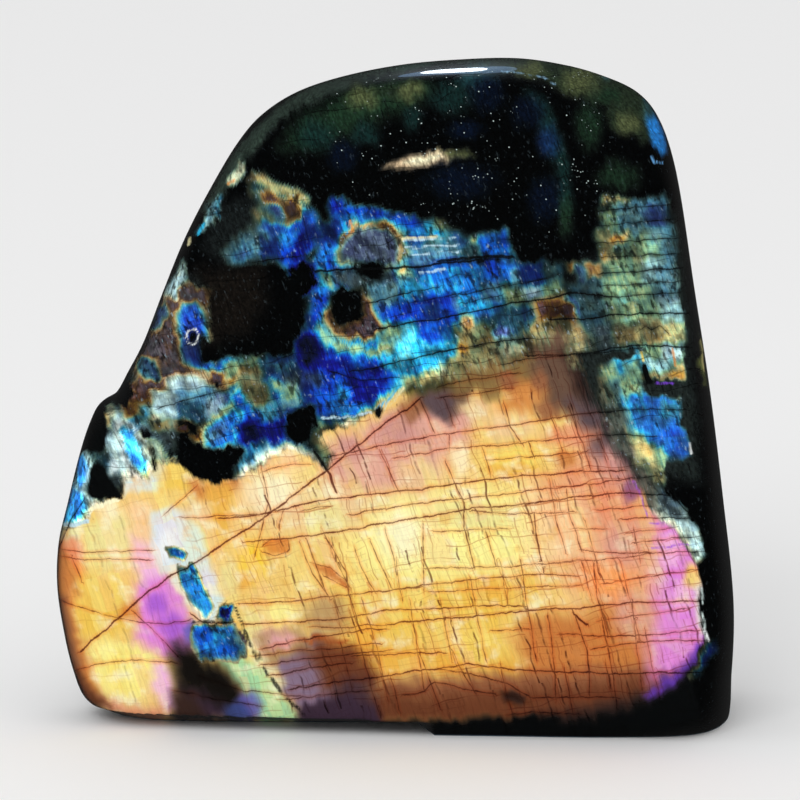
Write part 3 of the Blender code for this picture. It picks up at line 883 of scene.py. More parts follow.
BLACK_CHIPS = outlines("""
641,364 647,364 650,374 656,384 646,384 641,374
60,470 72,436 97,400 125,380 134,392 126,408 112,400 104,404 107,431 105,450 96,452 86,450 76,456 66,490
373,410 379,406 384,408 380,417 375,417
90,470 97,464 104,468 114,484 124,498 108,497 92,500 88,494
188,332 192,330 196,336 194,342 189,342
216,382 221,382 220,388 215,387
142,430 152,433 150,440 143,438
150,448 154,448 158,470 154,472
""")
print("black:", len(POOLS), "pools,", len(BLACK_CHIPS), "chips")

# %% [markdown]
# Labradorite cleaves along its layers, so the polished face carries long hairline cracks that rise
# a little to the right, short steep ones between them, and one long diagonal. They are drawn as
# lines too. Where the flash is gold they look brown, and elsewhere black.

# %% Cracks: width, points
CRACKS = outlines("""
3: 317,271 401,268 480,260
4: 440,262 462,259 491,256 511,257
1.6: 367,304 407,293 439,287
1.6: 415,302 480,291
1.6: 440,298 491,288 527,282 555,276
1.4: 463,303 500,295
2.4: 377,329 413,322 440,319 478,311 511,303 550,298 574,292 610,297
2.4: 550,320 580,319 611,315 640,314 688,313
1.6: 608,297 679,292
2: 351,371 369,369 407,360 440,352 478,345 511,340 528,338
2: 527,356 550,355 580,354 611,348 640,345 688,347
1.6: 501,365 528,359 640,348
1.4: 598,211 680,204
1.4: 598,226 680,218
1.6: 598,243 680,238
1.6: 600,257 678,254
2: 600,274 680,268
1.4: 604,286 680,281
1.6: 440,387 460,381 500,376 519,373
1.4: 440,398 478,393 512,388
1.6: 159,408 198,397 226,390
1.4: 263,472 271,468 289,465 309,464
1.6: 324,458 347,453 377,446 419,439 451,433 487,428 518,424 552,418 580,414 594,413 629,410 685,409
1.6: 395,458 422,454 444,449 482,446 514,444 546,440 578,437 604,435 629,435 655,436
1.4: 488,460 537,456 580,453 586,451
2: 220,519 258,515 302,505 330,499 368,495 399,491 418,490 456,484 491,479 520,476 559,474 582,471 624,471
1.4: 302,511 330,506
1.6: 350,515 420,503 482,497 527,491 591,484 629,479 655,476
2: 245,542 281,539 322,534 355,529 373,525 418,518 446,514 474,508 508,506 533,503 578,497 622,493 \
650,495 668,495
1.4: 472,511 508,514 546,513 574,512
1.4: 596,510 648,506
1.7: 622,519 652,518 690,518
1.4: 434,532 464,530 486,529 509,528
1.4: 573,529 604,529
1.4: 627,533 668,529
1.4: 634,543 690,537
1.6: 583,551 629,553 703,552
1.4: 540,564 595,560 629,557 652,553
1.4: 426,568 520,566 580,560
1.4: 603,584 649,576 699,569
1.6: 380,592 431,584 477,579 495,577 550,574 580,576
1.4: 431,592 485,589 580,585
1.6: 239,604 284,602 335,596 420,587
1.8: 245,624 296,622 335,619 370,614 386,610 420,610 482,606 524,606
1.5: 602,620 608,650 613,680 617,708
1.3: 355,550 362,570 375,592
1.3: 385,528 392,552 397,575
1.3: 452,650 462,672 475,692
1.4: 420,655 430,682 440,708
1.3: 390,675 396,694 400,712
1.2: 530,515 535,535 540,556
1.3: 585,520 592,546 600,576
1.2: 645,630 652,664 660,698
1.3: 548,616 553,650 556,700
1.2: 500,664 506,690 512,712
1.2: 632,600 636,640 642,690
1.9: 388,624 434,620 488,615 546,609 580,608 598,606 642,602 700,601
1.4: 598,621 642,615 688,608
1.8: 262,648 302,640 348,632 386,628
1.4: 312,627 348,627 420,622
1.4: 492,631 528,629
1.6: 560,634 611,636 649,635 700,630
1.6: 593,648 642,642 675,640 708,641
1.6: 354,656 420,653 444,653
2: 291,689 335,682 373,678 416,671 437,669 469,664 508,669 533,671 580,672 611,674 649,673 699,672
1.6: 439,669 469,674 508,684 528,696
1.6: 404,696 423,692 434,682 446,684 463,689 495,694
1.6: 533,698 580,697 617,698
1.4: 508,715 533,712 580,714
1.4: 63,550 95,553 152,550
1.4: 63,557 88,560 150,560
1.4: 63,601 104,615 139,622 165,624 190,620
1.4: 78,669 111,662 139,660 178,663
1.4: 72,558 82,581
1.4: 165,514 195,487
1.4: 181,518 260,514
2.4: 420,399 409,408 383,425 350,451 323,473 293,496 260,521 233,538 213,551 198,561 170,577 147,592 \
119,618 92,641 81,651
1.4: 133,611 152,629 178,656
1.4: 380,451 399,491
1.6: 421,402 434,432
1.4: 445,400 453,425
1.4: 449,436 450,449
1.8: 446,463 454,482 464,502 464,527 474,566
1.4: 486,532 496,566
1.4: 483,449 491,474
1.4: 504,403 510,426 522,444
1.4: 529,444 533,456
1.4: 552,419 563,451
1.4: 569,408 585,451 591,469
1.4: 571,405 579,437
1.8: 534,515 538,546 544,571
1.4: 567,492 569,514 582,551
1.2: 423,523 424,590
1.4: 307,540 314,559 326,594
1.6: 327,540 346,572 349,594 356,615
1.4: 370,540 382,567 391,587
1.4: 582,563 592,601
1.4: 594,563 597,596 608,635
1.8: 573,610 587,649 589,671 589,695
1.4: 605,662 611,690
1.4: 564,668 573,713
2: 192,615 203,622 231,623
1.2: 300,543 312,572 330,600
1.2: 323,530 335,560 350,587
1.4: 350,610 362,650 372,690 380,715
1.2: 362,600 378,650 388,700
1.2: 340,640 352,690
1.2: 333,600 345,640
1.2: 283,510 279,527
1.4: 255,656 290,651 330,649 380,643
1.6: 262,665 300,660 345,655 390,650
1.8: 270,676 310,668 350,663
1.4: 280,700 330,694 380,690
1.4: 200,676 240,690 300,696
1.4: 176,690 220,700 262,706
1.2: 264,546 270,540 288,538 290,550 276,557 264,553
1.2: 313,563 330,568 346,580 350,588 338,584 324,576
1.4: 262,470 268,500 262,530 255,556
1.2: 410,600 416,640 424,690
1.2: 396,560 402,600
1.2: 440,600 452,660
1.2: 470,576 478,620 486,660
1.4: 520,560 528,610 536,660
1.2: 500,560 508,606
1.2: 620,560 630,600 640,640
1.2: 550,480 556,520 566,552
1.2: 600,440 612,480
1.2: 634,530 640,560
3.5: 315,453 322,462 330,474 335,491
3: 575,614 581,620 586,624
2: 668,474 678,502 693,518 706,533 706,552
1.4: 640,330 646,326 652,330 660,326 668,333
1.6: 330,371 360,380 400,378
1.6: 254,262 300,256
2: 60,548 70,520 84,500
""")
print("cracks:", len(CRACKS))

# %% [markdown]
# Every outline becomes a signed distance: how far a point lies inside it, negative outside. A
# distance stays smooth between two points of the mesh, so the shader can cut it sharply, which a
# painted colour could not do at this spacing.

# %% Distances in plan units
def line_distance(u, v, points):
    """The least distance to a chain of straight pieces, and the side of the nearest piece: the
    sign of the cross product of the piece and the way to the point."""
    best = np.full(u.shape, np.inf)
    side = np.ones(u.shape)
    for a, b in zip(points[:-1], points[1:]):
        along = b - a
        share = ((u - a[0]) * along[0] + (v - a[1]) * along[1]) / max(along @ along, 1e-9)
        share = np.clip(share, 0, 1)
        away_u, away_v = u - a[0] - share * along[0], v - a[1] - share * along[1]
        distance = np.hypot(away_u, away_v)
        near = distance < best
        best = np.where(near, distance, best)
        side = np.where(near, np.sign(along[0] * away_v - along[1] * away_u), side)
    return best, side


def inside_area(u, v, corners):
    """Distance to the closed chain, positive where a ray to the right crosses it an odd number of
    times."""
    ring = np.vstack([corners, corners[:1]])
    distance, _ = line_distance(u, v, ring)
    inside = np.zeros(u.shape, bool)
    for (u0, v0), (u1, v1) in zip(ring[:-1], ring[1:]):
        if v0 != v1:
            crossing = u0 + (v - v0) * (u1 - u0) / (v1 - v0)
            inside ^= ((v0 > v) != (v1 > v)) & (u < crossing)
    return np.where(inside, distance, -distance)


LAYERS_RISE = 0.14
FIBRES_LEAN = 0.32
BLOCK_ROUNDING = 2.5


def inside_block(u, v, block):
    """A rounded box in slanted axes: u less the lean of the fibres, v plus the rise of the
    layers."""
    left, right, top, bottom = block
    du, dv = u - (left + right) / 2, v - (top + bottom) / 2
    half_u, half_v = (right - left) / 2, (bottom - top) / 2
    radius = min(BLOCK_ROUNDING, half_u, half_v)
    qu = abs(du - FIBRES_LEAN * dv) - half_u + radius
    qv = abs(dv + LAYERS_RISE * du) - half_v + radius
    outside = np.hypot(np.clip(qu, 0, None), np.clip(qv, 0, None))
    return radius - outside - np.minimum(np.maximum(qu, qv), 0)


def inside_oval(u, v, oval):
    """One less the distance in half sizes, as a length of the smaller half size."""
    left, right, top, bottom = oval
    half_u, half_v = (right - left) / 2, (bottom - top) / 2
    q = np.hypot((u - (left + right) / 2) / half_u, (v - (top + bottom) / 2) / half_v)
    return (1 - q) * min(half_u, half_v)


print("slant of layers and fibres:", LAYERS_RISE, FIBRES_LEAN)

# %% [markdown]
# On the real stone the edge of a flash is torn: it steps from fibre to fibre, and wanders with the
# grain. So the plan itself is shaken before it is read, and every outline frays in the same way.

# %% Ragged edges: value noise, stretched along the fibres
NOISE_SEED = 20
NOISE_SIZE = 64


def smooth(low_edge, high_edge, values):
    """Goes from 0 to 1 between two edges, as t * t * (3 - 2 * t)."""
    share = np.clip((values - low_edge) / (high_edge - low_edge), 0, 1)
    return share * share * (3 - 2 * share)


def value_noise(u, v, seed):
    """Random values on whole numbers, joined smoothly: weights t * t * (3 - 2 * t)."""
    size = NOISE_SIZE
    table = np.random.default_rng(NOISE_SEED + seed).random((size, size)) * 2 - 1
    iu, iv = np.floor(u).astype(int), np.floor(v).astype(int)
    fu, fv = smooth(0, 1, u - iu), smooth(0, 1, v - iv)
    low_row = table[iu % size, iv % size] * (1 - fu) + table[(iu + 1) % size, iv % size] * fu
    iv = iv + 1
    high_row = table[iu % size, iv % size] * (1 - fu) + table[(iu + 1) % size, iv % size] * fu
    return low_row * (1 - fv) + high_row * fv


def fibre_axes(u, v):
    """Across the fibres, and along them."""
    return u - FIBRES_LEAN * v, v + LAYERS_RISE * u


RAGGED = 3.2
RAG_SIZES = (5.0, 40.0)
WANDERS = ((2.2, 13.0, (2, 3)), (1.4, 6.0, (4, 5)))


def ragged_place(u, v):
    """The plan with edges made ragged: a shift along the fibres that differs from fibre to fibre,
    plus wanders, each of a height and a size."""
    across, along = fibre_axes(u, v)
    shift = RAGGED * value_noise(across / RAG_SIZES[0], along / RAG_SIZES[1], 1)
    new_u, new_v = u + FIBRES_LEAN * shift, v + shift
    for height, size, (seed_u, seed_v) in WANDERS:
        new_u = new_u + height * value_noise(u / size, v / size, seed_u)
        new_v = new_v + height * value_noise(u / size, v / size, seed_v)
    return new_u, new_v


print("ragged edges, plan units:", RAGGED, [height for height, _, _ in WANDERS])

# %% [markdown]
# The ground is mixed area by area, as a painter glazes. For the depths and the strokes only points
# near a patch are worked out, which keeps the lesson quick.

# %% Ground, depths and strokes
REACH = 14.0
JOIN = 1.2
OVAL_STRENGTH = 0.85
OVAL_SOFTNESS = 0.32
OVAL_OUTER = 0.6


def colour_of(name):
    """A palette colour, from 0 to 1."""
    return np.array(PALETTE[name], float) / 255


def lay_ground(u, v, first, areas, ovals):
    """Starts with one colour, and mixes each area and oval over it by how far inside it the point
    is."""
    colour = np.tile(colour_of(first), (len(u), 1))
    for name, softness, corners in areas:
        share = smooth(-softness, softness, inside_area(u, v, corners))
        colour += share[:, None] * (colour_of(name) - colour)
    for name, *oval in ovals:
        softness = min(oval[1] - oval[0], oval[3] - oval[2]) * OVAL_SOFTNESS
        share = OVAL_STRENGTH * smooth(-softness * OVAL_OUTER, softness, inside_oval(u, v, oval))
        colour += share[:, None] * (colour_of(name) - colour)
    return colour


def points_near(u, v, corners):
    """The numbers of the points within REACH of the box round the corners."""
    low_uv, high_uv = corners.min(0) - REACH, corners.max(0) + REACH
    near = (u > low_uv[0]) & (u < high_uv[0]) & (v > low_uv[1]) & (v < high_uv[1])
    return np.flatnonzero(near)


def depth_inside(u, v, rows):
    """How far inside the nearest of the outlines a point is, and -REACH where it is far off."""
    depth = np.full(u.shape, -REACH)
    for *_, corners in rows:
        near = points_near(u, v, corners)
        depth[near] = np.maximum(depth[near], inside_area(u[near], v[near], corners))
    return depth


def paint_strokes(u, v):
    """The depth inside the nearest stroke, and its colour, which goes on a little beyond the edge
    so that the cut never shows a wrong colour."""
    depth = np.full(u.shape, -REACH)
    colour = np.tile(colour_of("black"), (len(u), 1))
    for name, width, line in STROKES:
        near = points_near(u, v, line)
        inside = width / 2 - line_distance(u[near], v[near], line)[0]
        over = np.maximum(smooth(-JOIN, JOIN, inside), inside > depth[near])
        colour[near] += over[:, None] * (colour_of(name) - colour[near])
        depth[near] = np.maximum(depth[near], inside)
    return depth, colour


# %% [markdown]
# The flash is laid in four goes, each over the last: broad bases, then the blocks that the fibres
# and layers cut out, then the free areas, then the black pools. A block's edge is as soft as its
# size allows, so small blocks stay crisp.

# %% The flash and the gold field
SOFTEST = 7.0
SOFT_SHARE = 0.35
LEAST_SOFT = 0.8
FRINGE = 9.0
FRINGE_LEVEL = 4.9
SOFTENING = 0.75
SOFT_REACH = 20
CUT_SHARPNESS = 2.2


def paint_flash(u, v):
    """The level, gain and purity of the flash. Each patch is mixed over what was there, by how far
    inside it the point lies."""
    values = np.tile(np.array(LEVELS["shade"], float), (len(u), 1))

    def put(corners, depth_of, outline, name, softness):
        near = points_near(u, v, corners)
        share = smooth(-softness, softness, depth_of(u[near], v[near], outline))[:, None]
        values[near] += share * (np.array(LEVELS[name], float) - values[near])

    def put_areas(areas):
        for name, softness, corners in areas:
            put(corners, inside_area, corners, name, softness)

    put_areas(FLASH_BASES)
    for name, *block in UPPER_LEFT_BLOCKS + CENTRE_BLOCKS + RIGHT_BLOCKS + LEFT_BLOCKS:
        left, right, top, bottom = block
        softness = min(SOFTEST, SOFT_SHARE * min(right - left, bottom - top) + LEAST_SOFT)
        put(np.array([(left, top), (right, bottom)], float), inside_block, block, name, softness)
    put_areas(FLASH_AREAS + POOLS)
    return values


def gold_depth(u, v):
    """How far inside the gold field a point is. The blue patches within the field are cut out."""
    soft = smooth(-SOFT_REACH, SOFT_REACH, inside_area(u, v, SOFT_BORDER))
    depth = inside_area(u, v, GOLD_FIELD) * (1 - SOFTENING * soft)
    for (corners,) in GOLD_CUTS:
        depth = np.minimum(depth, -CUT_SHARPNESS * inside_area(u, v, corners))
    return depth


print("flash patches:", len(FLASH_BASES + FLASH_AREAS + POOLS), "areas")

# %% [markdown]
# A crack is far thinner than the spacing of the mesh, so its own distance is stored and the shader
# draws it. Neighbouring cracks would blur each other's distance, so they are dealt out to four
# sets, each with its own attribute.

# %% Crack distances
CRACK_SETS = 4
CRACK_APART = 6.0


def measure_cracks(u, v):
    """Signed distance, plain distance and half width of the nearest crack, in four sets. A signed
    distance flips its sign half-way between two cracks, so a crack joins the set in which fewest
    points lie close to another."""
    near = np.full((CRACK_SETS, len(u)), REACH)
    side, half = np.ones_like(near), np.zeros_like(near)
    for width, points in CRACKS:
        here = points_near(u, v, points)
        distance, sign = line_distance(u[here], v[here], points)
        close = here[distance < CRACK_APART]
        chosen = int(np.argmin((near[:, close] < CRACK_APART).sum(1)))
        closer = distance < near[chosen, here]
        spot = here[closer]
        near[chosen, spot], side[chosen, spot] = distance[closer], sign[closer]
        half[chosen, spot] = width / 2
    return near * side, near, half


print("cracks are dealt out to", CRACK_SETS, "sets")

# %% [markdown]
# The plan is read in perspective, from where the camera will stand: a point further back is drawn
# nearer to the middle, as the eye sees it. The front carries the flash at full strength, and it
# fades over a few millimetres behind the girdle, because there the layers no longer face the eye.

# %% Plan coordinates of every point of the mesh
PLAN_UNIT_MM = 0.177
PLAN_MIDDLE = 400.0
TARGET_MM = (0.8, 0.0, 56.5)
VIEW_ELEVATION = 12.0
VIEW_DISTANCE_M = 2.0

tilt = math.radians(VIEW_ELEVATION)
RIGHT = np.array([1.0, 0.0, 0.0])
UP = np.array([0.0, math.sin(tilt), math.cos(tilt)])
INWARD = np.array([0.0, math.cos(tilt), -math.sin(tilt)])


def plan_of(places):
    """u and v of points in metres: sideways and downwards from the target, over the plan unit,
    times the viewing distance over the point's own distance."""
    away = places - np.array(TARGET_MM) * MM
    nearness = VIEW_DISTANCE_M / (VIEW_DISTANCE_M + away @ INWARD)
    unit = PLAN_UNIT_MM * MM
    return PLAN_MIDDLE + away @ RIGHT / unit * nearness, PLAN_MIDDLE - away @ UP / unit * nearness


u, v = plan_of(points)
ragged_u, ragged_v = ragged_place(u, v)
print("plan reaches:", np.round([u.min(), u.max(), v.min(), v.max()], 1))

# %% [markdown]
# What is painted goes into the mesh as attributes, one value for each point. An attribute needs
# no image file, and it moves with the stone. Strokes and chips follow the ragged plan only part of
# the way, and cracks still less, because a crack is straighter than the edge of a flash.

# %% Paint and store the attributes
FADE_MM = (1.0, 7.0)
FACING = (0.05, 0.32)
STROKE_SHARE = 0.4
CRACK_SHARE = 0.25
GAIN_CURVE = 2.2
# The area in which the painted glints of the specks may lie.
SPECK_AREA = corners_of("330,60 600,70 610,200 560,240 420,215 330,190")
SPECK_SOFTNESS = 10


def linear(colour):
    """Display values to light: ((c + 0.055) / 1.055) ** 2.4, and c / 12.92 for the darkest."""
    return np.where(colour > 0.04045, ((colour + 0.055) / 1.055) ** 2.4, colour / 12.92)


def store_colour(name, colour):
    """A colour for every point, as light."""
    layer = mesh.color_attributes.new(name, "FLOAT_COLOR", "POINT")
    values = np.column_stack([linear(colour), np.ones(len(colour))])
    layer.data.foreach_set("color", values.astype(np.float32).ravel())


def store_vector(name, *columns):
    """Three values for every point."""
    layer = mesh.attributes.new(name, "FLOAT_VECTOR", "POINT")
    layer.data.foreach_set("vector", np.column_stack(columns).astype(np.float32).ravel())


def part_way(share):
    """The plan, only part of the way towards its ragged place."""
    return u + share * (ragged_u - u), v + share * (ragged_v - v)


level, gain, purity = paint_flash(ragged_u, ragged_v).T
stroke_depth, stroke_colour = paint_strokes(*part_way(STROKE_SHARE))
chip_depth = depth_inside(*part_way(STROKE_SHARE), BLACK_CHIPS)
pool_depth = depth_inside(ragged_u, ragged_v, POOLS)
behind = points[:, 1] / MM - girdle_y / MM
front_share = 1 - smooth(*FADE_MM, behind)
facing_share = smooth(*FACING, -(read_vectors(mesh, "normal") @ INWARD))
speck_depth = inside_area(u, v, SPECK_AREA)
speck_share = smooth(-SPECK_SOFTNESS, SPECK_SOFTNESS, speck_depth)
nothing = np.zeros_like(u)
store_colour("haze", lay_ground(ragged_u, ragged_v, "ink", HAZE_AREAS, HAZE_OVALS))
store_colour("gold", lay_ground(ragged_u, ragged_v, "gold", GOLD_AREAS, GOLD_OVALS))
store_colour("strokes", stroke_colour)
store_vector("flash", level, gain**GAIN_CURVE, purity)
store_vector("depths", gold_depth(ragged_u, ragged_v), stroke_depth, chip_depth)
store_vector("shares", front_share, facing_share, speck_share)
store_vector("pools", pool_depth, nothing, nothing)
for number, columns in enumerate(zip(*measure_cracks(*part_way(CRACK_SHARE)))):
    store_vector(f"cracks_{number}", *columns)
print("painted:", [layer.name for layer in mesh.attributes if "." not in layer.name])

# %% [markdown]
# ## The polish and the grain
#
# Polished feldspar is a clear, hard surface over a dark inside. The flash is given as base colour,
# because it lights up with the light that falls on it, and a coat gives the polish. Fine grain is
# worked out in the shader, where it can be finer than the mesh. A small helper keeps the node
# trees as short to write as sums.

# %% A small helper for node trees
class Graph:
    """Adds nodes to a tree. Inputs may be numbers, tuples, names from the palette, or the outputs
    of other nodes."""

    def __init__(self, tree):
        self.tree = tree

    def node(self, kind, *inputs, **settings):
        """A node of this kind, with its first inputs fed and its settings made."""
        made = self.tree.nodes.new(kind)
        for name, value in settings.items():
            setattr(made, name, value)
        for socket, value in zip(made.inputs, inputs):
            self.feed(socket, value)
        return made

    def feed(self, socket, value):
        """Links an output to a socket, or sets the socket to a constant."""
        if isinstance(value, bpy.types.NodeSocket):
            self.tree.links.new(value, socket)
        else:
            socket.default_value = light_of(value) if isinstance(value, str) else value

    def math(self, operation, *inputs):
        return self.node("ShaderNodeMath", *inputs, operation=operation).outputs[0]

    def plus(self, first, *others):
        """The sum of all. times and largest give the product and the largest of all."""
        for value in others:
            first = self.math("ADD", first, value)
        return first

    def times(self, first, *others):
        for value in others:
            first = self.math("MULTIPLY", first, value)
        return first

    def largest(self, first, *others):
        for value in others:
            first = self.math("MAXIMUM", first, value)
        return first

    def less(self, value, taken):
        return self.math("SUBTRACT", value, taken)

    def between(self, share, low, high):
        """low where share is 0, high where it is 1."""
        return self.math("MULTIPLY_ADD", share, high - low, low)

    def centred(self, value, size):
        """A value from 0 to 1 spread over size, with its middle at 0."""
        return self.between(value, -size / 2, size / 2)

    def step(self, value, start, end):
        """Goes smoothly from 0 at start to 1 at end."""
        made = self.node("ShaderNodeMapRange", value, interpolation_type="SMOOTHSTEP")
        self.feed(made.inputs["From Min"], start)
        self.feed(made.inputs["From Max"], end)
        return made.outputs["Result"]

    def mix(self, share, a, b, blend="MIX"):
        """The colour a where share is 0, and a blended with b where it is 1."""
        made = self.node("ShaderNodeMix", data_type="RGBA", blend_type=blend)
        self.feed(made.inputs[0], share)
        self.feed(made.inputs[6], a)
        self.feed(made.inputs[7], b)
        return made.outputs[2]

    def tinted(self, colour, tint):
        return self.mix(1.0, colour, tint, "MULTIPLY")

    def dimmed(self, colour, factor):
        """The colour times a number."""
        return self.tinted(colour, self.join(factor, factor, factor))

    def brightness(self, colour):
        return self.node("ShaderNodeRGBToBW", colour).outputs[0]

    def dot(self, vector, axis):
        made = self.node("ShaderNodeVectorMath", vector, tuple(axis), operation="DOT_PRODUCT")
        return made.outputs["Value"]

    def join(self, *values):
        return self.node("ShaderNodeCombineXYZ", *values).outputs[0]

    def noise(self, vector, scale, detail):
        made = self.node("ShaderNodeTexNoise")
        self.feed(made.inputs["Vector"], vector)
        self.feed(made.inputs["Scale"], scale)
        self.feed(made.inputs["Detail"], detail)
        return made.outputs["Fac"]

    def patches(self, vector, scale, detail, start, end):
        """Noise cut into patches: 0 where it is at start, 1 where it is at end."""
        return self.step(self.noise(vector, scale, detail), start, end)

    def random(self, *values):
        """A random value for three numbers. Where one is a constant, it tells one draw from
        another."""
        made = self.node("ShaderNodeTexWhiteNoise", noise_dimensions="3D")
        self.feed(made.inputs["Vector"], self.join(*values))
        return made.outputs["Value"]

    def attribute(self, name):
        return self.node("ShaderNodeAttribute", attribute_name=name).outputs

    def split(self, vector):
        return self.node("ShaderNodeSeparateXYZ", vector).outputs[:3]

    def parts(self, name):
        """The three values of a stored vector."""
        return self.split(self.attribute(name)["Vector"])


def new_group(name, inputs, outputs):
    """An empty node group, with its sockets made."""
    tree = bpy.data.node_groups.new(name, "ShaderNodeTree")
    for socket in inputs:
        tree.interface.new_socket(socket, in_out="INPUT", socket_type="NodeSocketFloat")
    for socket in outputs:
        tree.interface.new_socket(socket, in_out="OUTPUT", socket_type="NodeSocketFloat")
    return tree


def put_out(tree, *values):
    """Links the values to the outputs of a group."""
    out = tree.nodes.new("NodeGroupOutput")
    for socket, value in zip(out.inputs, values):
        tree.links.new(value, socket)


def light_of(name):
    """A palette colour as light, with alpha."""
    return (*linear(colour_of(name)), 1.0)


# %% [markdown]
# The real stone is built like a bundle of flat fibres: layers that rise a little to the right, and
# steep fibres across them. So all grain is read on axes turned to that build, in plan units. A
# noise that is squeezed along the fibres turns into long streaks.

# %% Grain: axes across the fibres, along them and inwards
ACROSS = (RIGHT + FIBRES_LEAN * UP) / (PLAN_UNIT_MM * MM)
ALONG = (LAYERS_RISE * RIGHT - UP) / (PLAN_UNIT_MM * MM)
DEEP = INWARD / (PLAN_UNIT_MM * MM)
STREAK_SQUEEZE_ALONG = 0.09
STREAK_SQUEEZE_DEEP = 0.3
STREAKS = (0.28, 3)
FINE_STREAKS = (0.9, 2)


def grain_group():
    """A group that puts out the three grain coordinates, in plan units, and streaks that are
    three units wide and thirty long."""
    tree = new_group("grain", (), ("Across", "Along", "Deep", "Streaks", "Fine"))
    g = Graph(tree)
    place = g.node("ShaderNodeTexCoord").outputs["Object"]
    across, along, deep = (g.dot(place, axis) for axis in (ACROSS, ALONG, DEEP))
    squeezed = g.join(
        across, g.times(along, STREAK_SQUEEZE_ALONG), g.times(deep, STREAK_SQUEEZE_DEEP)
    )
    put_out(tree, across, along, deep, g.noise(squeezed, *STREAKS), g.noise(squeezed, *FINE_STREAKS))
    return tree


# %% [markdown]
# Between the long cracks the stone is crossed by hairlines, flat ones along the layers and steep
# ones that end at the next layer, as in a wall of uneven bricks. Drawn by hand they would be
# thousands. A group works them out from rows and columns of random numbers, and the same group at
# four sizes gives the wall its large and small bricks.

# %% Hairlines: a brickwork of rows and columns
ROW_BEND = (0.018, 2)
ROW_BEND_SIZE = 26.0
COLUMN_WOBBLE = (0.035, 2)
COLUMN_WOBBLE_SIZE = 12.0
ROW_SHIFT = 9.0
FLAT_PIECE = 0.22
LINE_CORE = 0.25
FLAT_LEFT_OUT = (0.40, 0.70)
STEEP_LEFT_OUT = (0.35, 0.80)
BRICKS = {
    "usual": (14.0, 17.0, 0.9),
    "tall": (74.0, 17.0, 1.5),
    "small": (6.0, 5.0, 0.7),
    "large": (42.0, 13.0, 0.9),
}


def hairline_group():
    """Hairlines: in rows of one layer each, a line at the middle of the row, and steep lines that
    start anew in every row. Random values leave out about half of them. Also one random value for
    every block between the lines."""
    tree = new_group(
        "hairlines", ("Across", "Along", "Deep", "Layer", "Fibre", "Width"), ("Flat", "Steep", "Block")
    )
    g = Graph(tree)
    given = tree.nodes.new("NodeGroupInput").outputs
    place = g.join(given["Across"], given["Along"], given["Deep"])
    bend = g.math("MULTIPLY_ADD", g.noise(place, *ROW_BEND), ROW_BEND_SIZE, given["Along"])
    row = g.math("DIVIDE", bend, given["Layer"])
    row_number = g.math("FLOOR", row)
    row_shift = g.times(g.random(row_number, 3.0, 0.0), ROW_SHIFT)
    wobble = g.math(
        "MULTIPLY_ADD", g.noise(place, *COLUMN_WOBBLE), COLUMN_WOBBLE_SIZE, given["Across"]
    )
    column = g.plus(g.math("DIVIDE", wobble, given["Fibre"]), row_shift)
    column_number = g.math("FLOOR", column)
    piece = g.math("FLOOR", g.math("MULTIPLY_ADD", column, FLAT_PIECE, row_shift))
    narrow = g.times(given["Width"], LINE_CORE)

    def line(number, size):
        off_middle = g.math("ABSOLUTE", g.less(g.math("FRACT", number), 0.5))
        return g.step(g.times(off_middle, size), given["Width"], narrow)

    flat_kept = g.step(g.random(row_number, piece, 1.0), *FLAT_LEFT_OUT)
    steep_kept = g.step(g.random(row_number, column_number, 2.0), *STEEP_LEFT_OUT)
    flat = g.times(line(row, given["Layer"]), flat_kept)
    steep = g.times(line(column, given["Fibre"]), steep_kept)
    put_out(tree, flat, steep, g.random(row_number, column_number, 5.0))
    return tree


# %% [markdown]
# The grain, its hairlines and the fraying of edges are needed again and again, so they are read
# once and handed from effect to effect.

# %% What all effects share
STRETCH = 0.5
STREAK_RAG = 9.0
FINE_RAG = 5.0


class Grain:
    """The grain coordinates, a stretched and a turned copy, the hairlines at each size, and the
    rag, in plan units, by which every drawn edge is frayed."""

    def __init__(self, g):
        made = g.node("ShaderNodeGroup", node_tree=grain_group()).outputs
        self.across, along, deep = made["Across"], made["Along"], made["Deep"]
        self.streaks, self.fine = made["Streaks"], made["Fine"]
        self.place = g.join(self.across, along, deep)
        self.stretched = g.join(self.across, g.times(along, STRETCH), deep)
        self.turned = g.join(deep, self.across, along)
        self.rag = g.plus(g.centred(self.streaks, STREAK_RAG), g.centred(self.fine, FINE_RAG))
        tree = hairline_group()
        self.bricks = {}
        for name, sizes in BRICKS.items():
            group = g.node("ShaderNodeGroup", self.across, along, deep, *sizes, node_tree=tree)
            self.bricks[name] = group.outputs


# %% [markdown]
# The flash itself: the stored level is read on the colour ramp. In the real stone the layers are
# never quite even, so the level is shaken by streaks, blocks and a slow cloud. The shake is held
# back near the greens, which would otherwise turn into a rainbow. Light adds up, so the flash is
# added to the dim haze below it.

# %% The flash
GREEN_LEVEL = 4.6
GREEN_SPREAD = (0.2, 1.4)
GREEN_SHAKE = 0.4
STREAK_SHAKE = 1.0
FINE_SHAKE = 0.8
BLOCK_SHAKE = 0.5
CLOUD_SHAKE = 1.8
SHAKE_CLOUD = (0.075, 3)
GAIN_PATCHES = (0.06, 4, 0.32, 0.62)
GAIN_RANGE = (0.35, 1.2)
POOL_BLOTS = (0.11, 4)
POOL_BLOT_SIZE = 16.0
POOL_EDGE = (2.5, -1.5)
DUST_PATCHES = (0.4, 4, 0.35, 0.7)
DUST_RANGE = (0.6, 1.4)


def ramp_colour(g, level):
    """The flash ramp as a colour ramp node, read at level over the top of the ramp."""
    made = g.node("ShaderNodeValToRGB", g.math("DIVIDE", level, RAMP_TOP))
    stops = made.color_ramp.elements
    stops[1].position = 1.0
    while len(stops) < len(RAMP):
        stops.new(0.5)
    for stop, (level_of_stop, _) in zip(stops, RAMP):
        stop.position = level_of_stop / RAMP_TOP
    for stop, (_, name) in zip(stops, RAMP):
        stop.color = light_of(name)
    return made.outputs["Color"]


